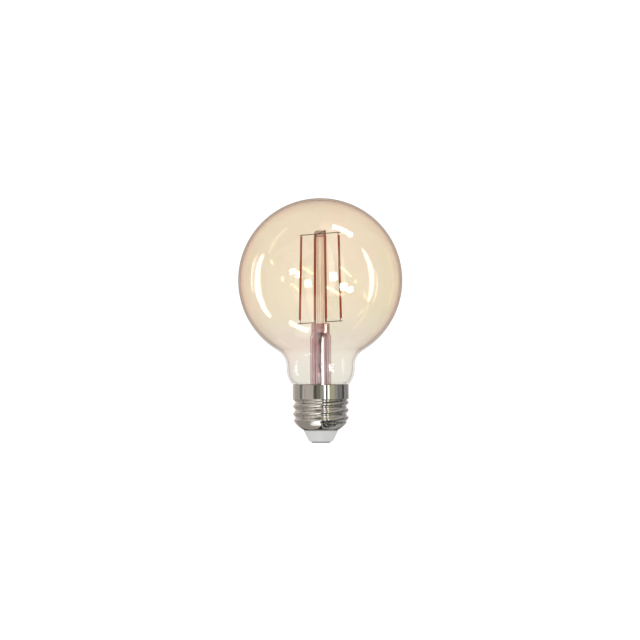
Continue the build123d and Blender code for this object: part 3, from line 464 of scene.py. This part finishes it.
GLOBE_SEGMENTS = 192
NECK_RADIUS = 16.15
NECK_FILLET_RADIUS = 8.8
TAPER_Z = 35.2
TAPER_RADIUS = 11.5
TAPER_ANGLE = 37.2
SHOULDER_RADIUS = 1.1
SOCKET_FILLET = 0.5
NECK_END_Z = 21.0


def envelope_outline(inset):
    """One face of the glass from the crown down to the neck's open end, moved inwards by inset."""
    globe_z = corners_mm("glass_envelope")[1].z - GLOBE_RADIUS
    radius = GLOBE_RADIUS - inset
    fillet = NECK_FILLET_RADIUS + inset
    fillet_r = NECK_RADIUS - inset + fillet
    fillet_z = globe_z - sqrt((radius + fillet) ** 2 - fillet_r**2)
    turn = degrees(atan2(globe_z - fillet_z, fillet_r))
    points = arc(0, globe_z, radius, 90, -turn, steps=110)
    points += arc(fillet_r, fillet_z, fillet, 180 - turn, 180, steps=20)[1:]
    points += arc(NECK_RADIUS - TAPER_RADIUS, TAPER_Z, TAPER_RADIUS - inset, 0, -TAPER_ANGLE, steps=16)

    shoulder = SHOULDER_RADIUS - inset
    shoulder_r = points[-1][0] - shoulder * cos(radians(TAPER_ANGLE))
    shoulder_z = points[-1][1] + shoulder * sin(radians(TAPER_ANGLE))
    points += arc(shoulder_r, shoulder_z, shoulder, -TAPER_ANGLE, -90, steps=6)[1:]
    socket_fillet = SOCKET_FILLET + inset
    points += arc(shoulder_r, shoulder_z - shoulder - socket_fillet, socket_fillet, 90, 180, steps=6)[1:]
    return points + [(shoulder_r - socket_fillet, NECK_END_Z)]


both_faces = envelope_outline(0) + envelope_outline(GLASS_WALL)[::-1]
envelope_built = lathe(both_faces, GLOBE_SEGMENTS)
envelope = new_piece("globe_glass", envelope_built, amber_glass, ["glass_envelope"])


# ======================= glass stem =======================

STEM_ANGLES = angles_round(96)
STEM_RADIUS = 5.0
STEM_WALL = 0.9
STEM_SHOULDER_Z = 50.2
FLARE_RADIUS = 11.6
FLARE_TOP_Z = 28.6
PINCH_START_Z = 52.2
PINCH_HALF_WIDTH = 4.375
PINCH_HALF_DEPTH = 2.3
PINCH_POWER = 3.2
PINCH_EDGE = 0.5
BORE_DOME_Z = 48.2
TUBE_SEGMENTS = 64


def pinch_ring(half_width, half_depth, power, z):
    """A ring that is an ellipse at a power of 2, and closer to a rectangle at a higher power."""
    def reach(a):
        return (abs(cos(a) / half_width) ** power + abs(sin(a) / half_depth) ** power) ** (-1 / power)

    return ring(reach, z, STEM_ANGLES)


def stem_loops():
    """Rings from the flare's rim up the outside of the stem and over the pinch."""
    top = corners_mm("stem_tube")[1].z
    flare = arc(FLARE_RADIUS, FLARE_TOP_Z, FLARE_RADIUS - STEM_RADIUS, 270, 180, steps=14)
    tube = [(STEM_RADIUS, z) for z in (32, 36, 40, 44, 47, 49)]
    loops = [round_ring(r, z, STEM_ANGLES) for r, z in flare + tube]
    steps = 12
    for step in range(steps + 1):
        ease = smooth_step(0, steps, step)
        half_width = STEM_RADIUS + (PINCH_HALF_WIDTH - STEM_RADIUS) * ease
        half_depth = STEM_RADIUS + (PINCH_HALF_DEPTH - STEM_RADIUS) * ease
        z = STEM_SHOULDER_Z + (PINCH_START_Z - STEM_SHOULDER_Z) * step / steps
        loops.append(pinch_ring(half_width, half_depth, 2 + (PINCH_POWER - 2) * ease, z))
    loops.append(pinch_ring(PINCH_HALF_WIDTH, PINCH_HALF_DEPTH, PINCH_POWER, top - 0.9))
    for angle in (20, 40, 60, 80, 90):
        drop = PINCH_EDGE * (1 - cos(radians(angle)))
        z = top - PINCH_EDGE + PINCH_EDGE * sin(radians(angle))
        loops.append(pinch_ring(PINCH_HALF_WIDTH - drop, PINCH_HALF_DEPTH - drop, PINCH_POWER, z))
    return loops + [[(0, 0, top)]]


def bore_profile():
    """The stem's hollow, from the flare up to a dome with a dimple in its middle."""
    bore_radius = STEM_RADIUS - STEM_WALL
    flare = arc(FLARE_RADIUS, FLARE_TOP_Z, FLARE_RADIUS - bore_radius, 270, 180, steps=14)
    dome = arc(0, BORE_DOME_Z, bore_radius, 0, 90, steps=10)[:-1]
    return flare + [(bore_radius, 36), (bore_radius, 44)] + dome + [(0, BORE_DOME_Z + 0.6 * bore_radius)]


stem = new_piece("stem_glass", skin_loops(stem_loops()), stem_glass, ["stem_tube"])
bore = new_piece("stem_bore", lathe(bore_profile(), len(STEM_ANGLES)), bore_glass, [])

EXHAUST_RADIUS = 1.75
EXHAUST_BORE = 1.0
exhaust_low, exhaust_high = corners_mm("exhaust_tube")
tip_z = exhaust_low.z + EXHAUST_RADIUS
exhaust_profile = arc(0, tip_z, EXHAUST_RADIUS, -90, 0, steps=12)
exhaust_profile += [(EXHAUST_RADIUS, exhaust_high.z), (EXHAUST_BORE, exhaust_high.z)]
exhaust_profile += arc(0, tip_z, EXHAUST_BORE, 0, -90, steps=12)
exhaust_built = lathe(exhaust_profile, TUBE_SEGMENTS)
exhaust = new_piece("exhaust_glass", exhaust_built, exhaust_glass, ["exhaust_tube"])

ROD_RADIUS = 1.7
ROD_CHAMFER = 0.3
rod_low, rod_high = corners_mm("arbor_rod")
rod_profile = [(0, rod_low.z), (ROD_RADIUS - ROD_CHAMFER, rod_low.z), (ROD_RADIUS, rod_low.z + ROD_CHAMFER)]
rod_profile += [(ROD_RADIUS, z) for z in (60, 68, 76, 84, 92, rod_high.z)] + [(0, rod_high.z)]
new_piece("rod_glass", lathe(rod_profile, TUBE_SEGMENTS), rod_glass, ["arbor_rod"])

FOOT_EDGE = 0.8
TOP_EDGE = 1.3
bead_low, bead_high = corners_mm("arbor_bead")
bead_profile = [(0, bead_low.z)]
bead_profile += arc(bead_high.x - FOOT_EDGE, bead_low.z + FOOT_EDGE, FOOT_EDGE, -90, 0, steps=8)
bead_profile += arc(bead_high.x - TOP_EDGE, bead_high.z - TOP_EDGE, TOP_EDGE, 0, 90, steps=12)
bead_profile += [(0, bead_high.z)]
new_piece("bead_glass", lathe(bead_profile, TUBE_SEGMENTS), bead_glass, ["arbor_bead"])


# ======================= screw shell =======================

SHELL_ANGLES = angles_round(256)
THREAD_PITCH = 25.4 / 7
THREAD_MEAN_RADIUS = 12.6775
THREAD_AMPLITUDE = 0.5475
THREAD_CREST_Z = 11.8
THREAD_TOP_Z = 21.2
THREAD_LEVELS = 150
THREAD_FILLET = 0.12
COLLAR_RADIUS = 13.3
COLLAR_BOTTOM_Z = 20.4
COLLAR_STEP = (-0.15, 0.45)
COLLAR_MIDDLE_Z = 24
SHELL_WALL = 0.3
# How far inwards and down from the collar's top edge its rolled rim runs.
COLLAR_RIM = [(SHELL_WALL, 0.12), (0.18, 0), (0.1, 0), (0.03, 0.04), (0, 0.12)]
BOWL_TOP = (13.22, 10.7)
BOWL_MIDDLE = (10.85, 7.85)
BOWL_BOTTOM = (8.2, 5.95)
SHELL_HOLE_RADIUS = 7.6


def circle_through(first, second, third):
    """Centre and radius of the circle through three points."""
    (ax, ay), (bx, by), (cx, cy) = first, second, third
    d = 2 * (ax * (by - cy) + bx * (cy - ay) + cx * (ay - by))
    a2, b2, c2 = ax**2 + ay**2, bx**2 + by**2, cx**2 + cy**2
    x = (a2 * (by - cy) + b2 * (cy - ay) + c2 * (ay - by)) / d
    y = (a2 * (cx - bx) + b2 * (ax - cx) + c2 * (bx - ax)) / d
    return x, y, hypot(ax - x, ay - y)


BOWL_CENTRE_R, BOWL_CENTRE_Z, BOWL_RADIUS = circle_through(BOWL_TOP, BOWL_MIDDLE, BOWL_BOTTOM)


def bowl_radius(z):
    """Radius of the bowl that closes the shell below the thread, and of the slope that goes on above it."""
    top_r, top_z = BOWL_TOP
    if z >= top_z:
        return top_r + (z - top_z)
    return BOWL_CENTRE_R + sqrt(BOWL_RADIUS**2 - (z - BOWL_CENTRE_Z) ** 2)


def shell_radius(angle, z):
    """Radius of the shell's outside: rolled right-hand thread, the collar above it and the bowl below."""
    turn = 2 * pi * (z - THREAD_CREST_Z) / THREAD_PITCH - angle
    thread = THREAD_MEAN_RADIUS + THREAD_AMPLITUDE * cos(turn)
    bowl = bowl_radius(z)
    overlap = max(THREAD_FILLET - abs(thread - bowl), 0) / THREAD_FILLET
    lower = min(thread, bowl) - overlap * overlap * THREAD_FILLET / 4
    collar = smooth_step(*COLLAR_STEP, z - COLLAR_BOTTOM_Z)
    return lower + (COLLAR_RADIUS - lower) * collar


def shell_loops():
    """Rings down the outside of the shell, in round its bottom hole, and back up the inside."""
    rim_z = corners_mm("screw_shell")[1].z
    rim = [(COLLAR_RADIUS - inwards, rim_z - down) for inwards, down in COLLAR_RIM]
    loops = [round_ring(r, z, SHELL_ANGLES) for r, z in rim + [(COLLAR_RADIUS, COLLAR_MIDDLE_Z)]]
    bottom_z = BOWL_BOTTOM[1]
    drop = (THREAD_TOP_Z - bottom_z) / THREAD_LEVELS
    heights = [THREAD_TOP_Z - drop * i for i in range(THREAD_LEVELS + 1)]
    for z in heights:
        loops.append(ring(lambda a: shell_radius(a, z), z, SHELL_ANGLES))
    for z in (bottom_z, bottom_z + SHELL_WALL):
        loops.append(round_ring(SHELL_HOLE_RADIUS, z, SHELL_ANGLES))
    for z in heights[-8::-4]:
        loops.append(ring(lambda a: shell_radius(a, z) - SHELL_WALL, z + 0.1, SHELL_ANGLES))
    return loops


nickel = surface(
    "nickel",
    ((0.62, 0.60, 0.565), (0.92, 0.90, 0.865)),
    (0.03, 0.09),
    metallic=1.0,
    grain=2600.0,
    stretch=(1, 1, 0.02),
    bump=0.03,
)
shell_built = skin_loops(shell_loops(), closed=True)
new_piece("screw_shell_nickel", shell_built, nickel, ["screw_shell"])


# ======================= insulator and contact =======================

INSULATOR_SEGMENTS = 128
INSULATOR_HOLE_RADIUS = 1.5
INSULATOR_CONE = [(6.9, 3.2), (7.75, 4.9), (8.0, 5.35), (8.1, 5.6), (8.05, 5.82), (7.9, 5.9)]
INSULATOR_WAIST = [(7.55, 5.9), (7.55, 6.3), (8.2, 6.3), (9.1, 7.0)]
WELL_RADIUS = 6.5
WELL_Z = 6.2

insulator_white = surface(
    "insulator_white",
    ((0.57, 0.57, 0.57), (0.615, 0.615, 0.61)),
    (0.35, 0.5),
    grain=1500.0,
    bump=0.02,
    coat=0.15,
)
insulator_low, insulator_high = corners_mm("cap_insulator")
insulator_profile = [(INSULATOR_HOLE_RADIUS, insulator_low.z)]
insulator_profile += arc(4.55, insulator_low.z + 1.6, 1.6, -90, -18, steps=12)
insulator_profile += INSULATOR_CONE + INSULATOR_WAIST + [(INSULATOR_WAIST[-1][0], insulator_high.z)]
insulator_profile += [(WELL_RADIUS, insulator_high.z), (WELL_RADIUS, WELL_Z), (INSULATOR_HOLE_RADIUS, WELL_Z)]
insulator_built = lathe(insulator_profile, INSULATOR_SEGMENTS, closed=True)
new_piece("insulator_cone", insulator_built, insulator_white, ["cap_insulator"])

CONTACT_SEGMENTS = 96
CONTACT_THICKNESS = 0.45
CONTACT_EDGE = 0.25
STUD_RADIUS = 1.5
STUD_BORE_BOTTOM = (0.4, 2.5)

contact_metal = surface(
    "contact_metal",
    ((0.20, 0.20, 0.20), (0.42, 0.41, 0.39)),
    (0.25, 0.45),
    metallic=1.0,
    grain=1800.0,
    bump=0.08,
)
contact_high = corners_mm("centre_contact")[1]
contact_profile = [(0, 0), (contact_high.x - 0.35, 0)]
contact_profile += arc(contact_high.x - CONTACT_EDGE, CONTACT_EDGE, CONTACT_EDGE, -80, 60, steps=8)
contact_profile += [(contact_high.x - 0.3, CONTACT_THICKNESS), (STUD_RADIUS, CONTACT_THICKNESS)]
contact_profile += [(STUD_RADIUS, contact_high.z), (0.45, contact_high.z), STUD_BORE_BOTTOM]
contact_profile += [(0, STUD_BORE_BOTTOM[1])]
contact_built = lathe(contact_profile, CONTACT_SEGMENTS)
new_piece("contact_plate", contact_built, contact_metal, ["centre_contact"])


# ======================= materials of the CAD nodes that stay =======================

# Each slot's two colours, its least and greatest roughness, and what else differs from a plain solid.
SOLID_FINISHES = {
    "cement": ((0.55, 0.52, 0.46), (0.72, 0.69, 0.62), (0.8, 0.95), dict(grain=1400.0, bump=0.4)),
    "support_wire": ((0.26, 0.22, 0.15), (0.42, 0.37, 0.28), (0.3, 0.5), dict(metallic=0.7, grain=2500.0)),
    "phosphor_coat": ((0.29, 0.045, 0.004), (0.44, 0.09, 0.01), (0.5, 0.65), dict(grain=1200.0)),
    "tab_metal": ((0.28, 0.16, 0.09), (0.42, 0.28, 0.18), (0.3, 0.5), dict(metallic=0.8, grain=2000.0)),
    "sleeve_plastic": ((0.70, 0.70, 0.68), (0.80, 0.80, 0.78), (0.45, 0.6), {}),
    "board_green": ((0.02, 0.10, 0.05), (0.03, 0.16, 0.07), (0.2, 0.35), dict(grain=1600.0, coat=0.3)),
    "copper": (
        (0.70, 0.32, 0.17),
        (0.85, 0.45, 0.28),
        (0.2, 0.35),
        dict(metallic=1.0, grain=2400.0, stretch=(1, 1, 8)),
    ),
    "can_aluminium": ((0.62, 0.63, 0.65), (0.78, 0.79, 0.80), (0.2, 0.35), dict(metallic=1.0)),
    "black_rubber": ((0.015, 0.015, 0.015), (0.035, 0.035, 0.035), (0.6, 0.8), dict(bump=0.2)),
    "tinned_wire": ((0.55, 0.55, 0.55), (0.75, 0.75, 0.74), (0.2, 0.4), dict(metallic=1.0)),
    "ferrite": ((0.03, 0.03, 0.033), (0.07, 0.07, 0.075), (0.5, 0.7), dict(bump=0.3)),
    "varistor_blue": ((0.01, 0.04, 0.22), (0.02, 0.08, 0.36), (0.15, 0.3), dict(coat=0.4)),
    "film_red": ((0.30, 0.03, 0.02), (0.42, 0.05, 0.03), (0.15, 0.3), dict(coat=0.4)),
    "fuse_ceramic": ((0.10, 0.26, 0.14), (0.16, 0.36, 0.20), (0.2, 0.35), dict(coat=0.3)),
    "chip_black": ((0.012, 0.012, 0.013), (0.03, 0.03, 0.032), (0.5, 0.7), dict(grain=3000.0, bump=0.2)),
    "chip_part": ((0.20, 0.15, 0.10), (0.50, 0.48, 0.45), (0.4, 0.6), dict(grain=1000.0)),
    "crystal_metal": ((0.60, 0.60, 0.58), (0.78, 0.78, 0.76), (0.15, 0.3), dict(metallic=1.0)),
    "wire_jacket": ((0.45, 0.02, 0.015), (0.60, 0.04, 0.03), (0.35, 0.5), {}),
    "solder": ((0.60, 0.61, 0.62), (0.78, 0.79, 0.80), (0.15, 0.35), dict(metallic=1.0, bump=0.2)),
    "led_chip": ((0.04, 0.10, 0.35), (0.08, 0.18, 0.50), (0.1, 0.2), dict(coat=0.5)),
}
finishes = {"filament_glass": thin_glass("filament_glass", STEM_TINT, CLEAR_GLOSS, 0.05, 0.5, 0.1)}
for slot, (dark, light, roughness, more) in SOLID_FINISHES.items():
    finishes[slot] = surface(slot, (dark, light), roughness, **more)
lead_wire_finish = surface(
    "lead_wire", ((0.66, 0.55, 0.54), (0.82, 0.72, 0.71)), (0.3, 0.5), metallic=0.3, grain=2500.0
)

replaced_nodes = {name for piece in bpy.data.objects for name in piece.get("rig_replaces", [])}
for subpart in frame["record"]["subparts"]:
    if subpart["node"] not in replaced_nodes:
        is_lead_wire = subpart["node"].startswith("lead_wire")
        finish = lead_wire_finish if is_lead_wire else finishes[subpart["material_slot"]]
        for material_slot in frame["nodes"][subpart["node"]].material_slots:
            material_slot.material = finish


# ======================= surroundings and floor =======================

WORLD_BRIGHTNESS = 1.11
FLOOR_ALBEDO = 0.15
FLOOR_RADIUS = 6.0
FLOOR_GAP = 0.0005
OVERHEAD_GREY = (0.45, 0.42, 0.40)

# Upright bands round the bulb. Each starts at its azimuth, in degrees from the front and positive to the
# right, and runs up to the next one.
SIDE_BANDS = [
    (-180, (0.62, 0.54, 0.50)),
    (-134, (0.42, 0.40, 0.38)),
    (-98, (0.21, 0.20, 0.17)),
    (-84, (0.52, 0.475, 0.44)),
    (-31, (0.12, 0.11, 0.085)),
    (-18, (0.20, 0.19, 0.155)),
    (-2, (0.36, 0.36, 0.31)),
    (12, (1.9, 1.9, 1.9)),
    (21, (0.04, 0.04, 0.035)),
    (28, (1.5, 1.47, 1.27)),
    (35.5, (0.46, 0.45, 0.32)),
    (58, (0.33, 0.33, 0.31)),
    (72, (0.21, 0.21, 0.21)),
    (99, (0.07, 0.075, 0.075)),
    (112, (0.30, 0.30, 0.30)),
    (150, (0.62, 0.54, 0.50)),
]
BELOW_BANDS = [
    (-180, (0.03, 0.03, 0.025)),
    (-160, (0.34, 0.31, 0.28)),
    (-65, (0.55, 0.52, 0.48)),
    (-40, (0.85, 0.83, 0.80)),
    (-22, (1.3, 1.28, 1.24)),
    (3, (0.05, 0.05, 0.045)),
    (130, (0.30, 0.30, 0.29)),
    (160, (0.02, 0.02, 0.02)),
]
UNDER_BANDS = [
    (-180, (0.03, 0.03, 0.025)),
    (-165, (0.36, 0.34, 0.31)),
    (-118, (0.68, 0.66, 0.64)),
    (-105, (1.15, 1.13, 1.10)),
    (-60, (1.6, 1.57, 1.52)),
    (0, (0.02, 0.02, 0.02)),
    (150, (0.30, 0.30, 0.29)),
    (170, (0.02, 0.02, 0.02)),
]
SPECK_BANDS = [(-180, (0, 0, 0)), (1, (1, 1, 1)), (150, (0, 0, 0))]
FINE_LINES = [(0.38, (0.72, 0.72, 0.72)), (0.6, (1.18, 1.18, 1.18))]
SPECKS = [(0.585, (0, 0, 0)), (0.635, (1.0, 1.0, 1.0))]


def bands(tree, place, colours):
    """Bands of plain colour along a place from 0 to 1, which stands for once round the bulb."""
    stops = [((azimuth + 180) / 360, colour) for azimuth, colour in colours]
    return ramp(tree, place, stops, "CONSTANT")


def make_world():
    """White round the bulb, with the grey cards and dark gaps of a studio in its reflections."""
    world = bpy.data.worlds.new("studio")
    world.use_nodes = True
    SCENE.world = world
    tree = world.node_tree
    tree.nodes.clear()
    direction = tree.nodes.new("ShaderNodeTexCoord").outputs["Generated"]
    x, y, z = add_node(tree, "ShaderNodeSeparateXYZ", i0=direction).outputs
    azimuth = math_node(tree, "ARCTAN2", x, math_node(tree, "MULTIPLY", y, -1.0))
    place = math_node(tree, "ADD", math_node(tree, "DIVIDE", azimuth, 2 * pi), 0.5)
    fall = math_node(tree, "MULTIPLY", z, -1.0)

    fine_lines = ramp(tree, noise(tree, place, 170.0, 2.0), FINE_LINES)
    sides = multiply(tree, bands(tree, place, SIDE_BANDS), fine_lines)
    specks = ramp(tree, noise(tree, direction, 23.0, 4.0), SPECKS)
    specks = multiply(tree, specks, bands(tree, place, SPECK_BANDS))
    under = rise(tree, fall, 0.88, 0.93)
    below = mix_colours(tree, under, bands(tree, place, BELOW_BANDS), bands(tree, place, UNDER_BANDS))
    below = mix_colours(tree, 1.0, below, specks, "ADD")
    reflected = mix_colours(tree, rise(tree, fall, 0.30, 0.42), sides, below)
    reflected = mix_colours(tree, rise(tree, z, 0.35, 0.8), reflected, OVERHEAD_GREY)

    in_reflection = tree.nodes.new("ShaderNodeLightPath").outputs["Is Glossy Ray"]
    colour = mix_colours(tree, in_reflection, (1.0, 1.0, 1.0), reflected)
    dimmer = math_node(tree, "MULTIPLY", in_reflection, 1.0 - WORLD_BRIGHTNESS)
    strength = math_node(tree, "ADD", dimmer, WORLD_BRIGHTNESS)
    background = add_node(tree, "ShaderNodeBackground", Color=colour, Strength=strength)
    output = tree.nodes.new("ShaderNodeOutputWorld")
    tree.links.new(background.outputs[0], output.inputs[0])


def light_table():
    """A white table lit from below, as bright as the background, so that the bulb stands in plain white."""
    material, tree, output = new_tree("floor_white")
    albedos = [(0.0, (FLOOR_ALBEDO - 0.01,) * 3), (1.0, (FLOOR_ALBEDO + 0.01,) * 3)]
    matt = add_node(tree, "ShaderNodeBsdfDiffuse", Color=ramp(tree, noise_on(tree, 20.0), albedos))
    lit = add_node(tree, "ShaderNodeEmission", Strength=WORLD_BRIGHTNESS * (1 - FLOOR_ALBEDO))
    both = add_node(tree, "ShaderNodeAddShader", i0=matt.outputs[0], i1=lit.outputs[0])
    tree.links.new(both.outputs[0], output.inputs[0])
    return material


def make_floor():
    """A round floor just under the contact, which the bulb's reflections leave out."""
    built = bmesh.new()
    bmesh.ops.create_circle(built, cap_ends=True, segments=96, radius=FLOOR_RADIUS)
    mesh = bpy.data.meshes.new("floor")
    built.to_mesh(mesh)
    built.free()
    mesh.materials.append(light_table())
    floor = bpy.data.objects.new("floor", mesh)
    floor.location.z = BULB_LOW.z - FLOOR_GAP
    floor.visible_glossy = False
    SCENE.collection.objects.link(floor)
    return floor


# ======================= lights =======================

def receiver_group(name, pieces):
    """The pieces that a light shines on."""
    group = bpy.data.collections.new(name)
    for piece in pieces:
        group.objects.link(piece)
    return group


def add_softbox(
    name, direction, size, radiance, receivers, distance=0.66, spin=0.0, colour=(1, 1, 1), shape="RECTANGLE"
):
    """A flat light that faces the globe from a direction, at a distance from its centre.

    size is along the circle round the y axis through the globe, then across it. spin turns it in degrees.
    """
    data = bpy.data.lights.new(name, "AREA")
    data.shape = shape
    data.size, data.size_y = size
    data.energy = radiance * size[0] * size[1] * pi
    data.color = colour
    light = bpy.data.objects.new(name, data)
    back = Vector(direction).normalized()
    along = Vector((0, 1, 0)).cross(back).normalized()
    facing = Matrix((along, back.cross(along), back)).transposed()
    turned = facing @ Matrix.Rotation(radians(spin), 3, "Z")
    light.matrix_world = Matrix.Translation(GLOBE_CENTRE + back * distance) @ turned.to_4x4()
    light.visible_camera = False
    light.light_linking.receiver_collection = receivers
    SCENE.collection.objects.link(light)


WARM = (1.0, 0.86, 0.52)
# The name, direction, size and radiance of each light that the globe reflects, and what else differs.
GLOBE_LIGHTS = [
    ("overhead_box", (0.42, -0.15, 0.90), (0.27, 0.085), 14, {}),
    ("left_strip", (-0.97, -0.01, -0.10), (0.18, 0.024), 9.5, dict(distance=0.150, shape="ELLIPSE")),
    ("left_sliver", (-0.95, 0.18, 0.10), (0.09, 0.005), 9, dict(distance=0.150, shape="ELLIPSE")),
    ("front_window_1", (0.31, -0.95, 0.075), (0.12, 0.11), 20, dict(spin=-6)),
    ("front_window_2", (0.53, -0.83, -0.16), (0.105, 0.11), 45, dict(spin=20)),
    ("front_window_3", (0.65, -0.72, -0.215), (0.08, 0.09), 45, dict(spin=35)),
    ("warm_glint_1", (0.322, -0.91, -0.262), (0.045, 0.28), 6, dict(spin=8, colour=WARM)),
    ("warm_glint_2", (0.578, -0.795, 0.185), (0.22, 0.035), 6, dict(spin=32, colour=WARM)),
    ("warm_glint_3", (-0.728, 0.03, 0.686), (0.35, 0.03), 2.2, dict(spin=14, colour=WARM)),
    ("warm_glint_4", (0.80, -0.20, -0.56), (0.20, 0.02), 2.2, dict(spin=-20, colour=WARM)),
    ("small_glint_1", (-0.80, -0.60, 0.03), (0.06, 0.05), 5, dict(colour=WARM)),
    ("small_glint_2", (-0.93, -0.25, 0.35), (0.10, 0.03), 4, dict(spin=60, colour=WARM)),
]

make_world()
globe_only = receiver_group("globe_receivers", [envelope])
stem_only = receiver_group("stem_receivers", [stem, bore, exhaust])
whole_bulb = receiver_group("solid_receivers", [piece for piece in bpy.data.objects if piece.type == "MESH"])
for name, direction, size, radiance, more in GLOBE_LIGHTS:
    add_softbox(name, direction, size, radiance, globe_only, **more)
add_softbox("stem_strip", (0.38, -0.925, 0), (1.2, 0.32), 26, stem_only, distance=0.9)
add_softbox("soft_key", (-0.5, -0.6, 0.62), (0.9, 0.9), 0.4, whole_bulb, distance=1.6)
make_floor()

SCENE.view_settings.view_transform = "Standard"
SCENE.cycles.transparent_max_bounces = 48
SCENE.cycles.sample_clamp_indirect = 10
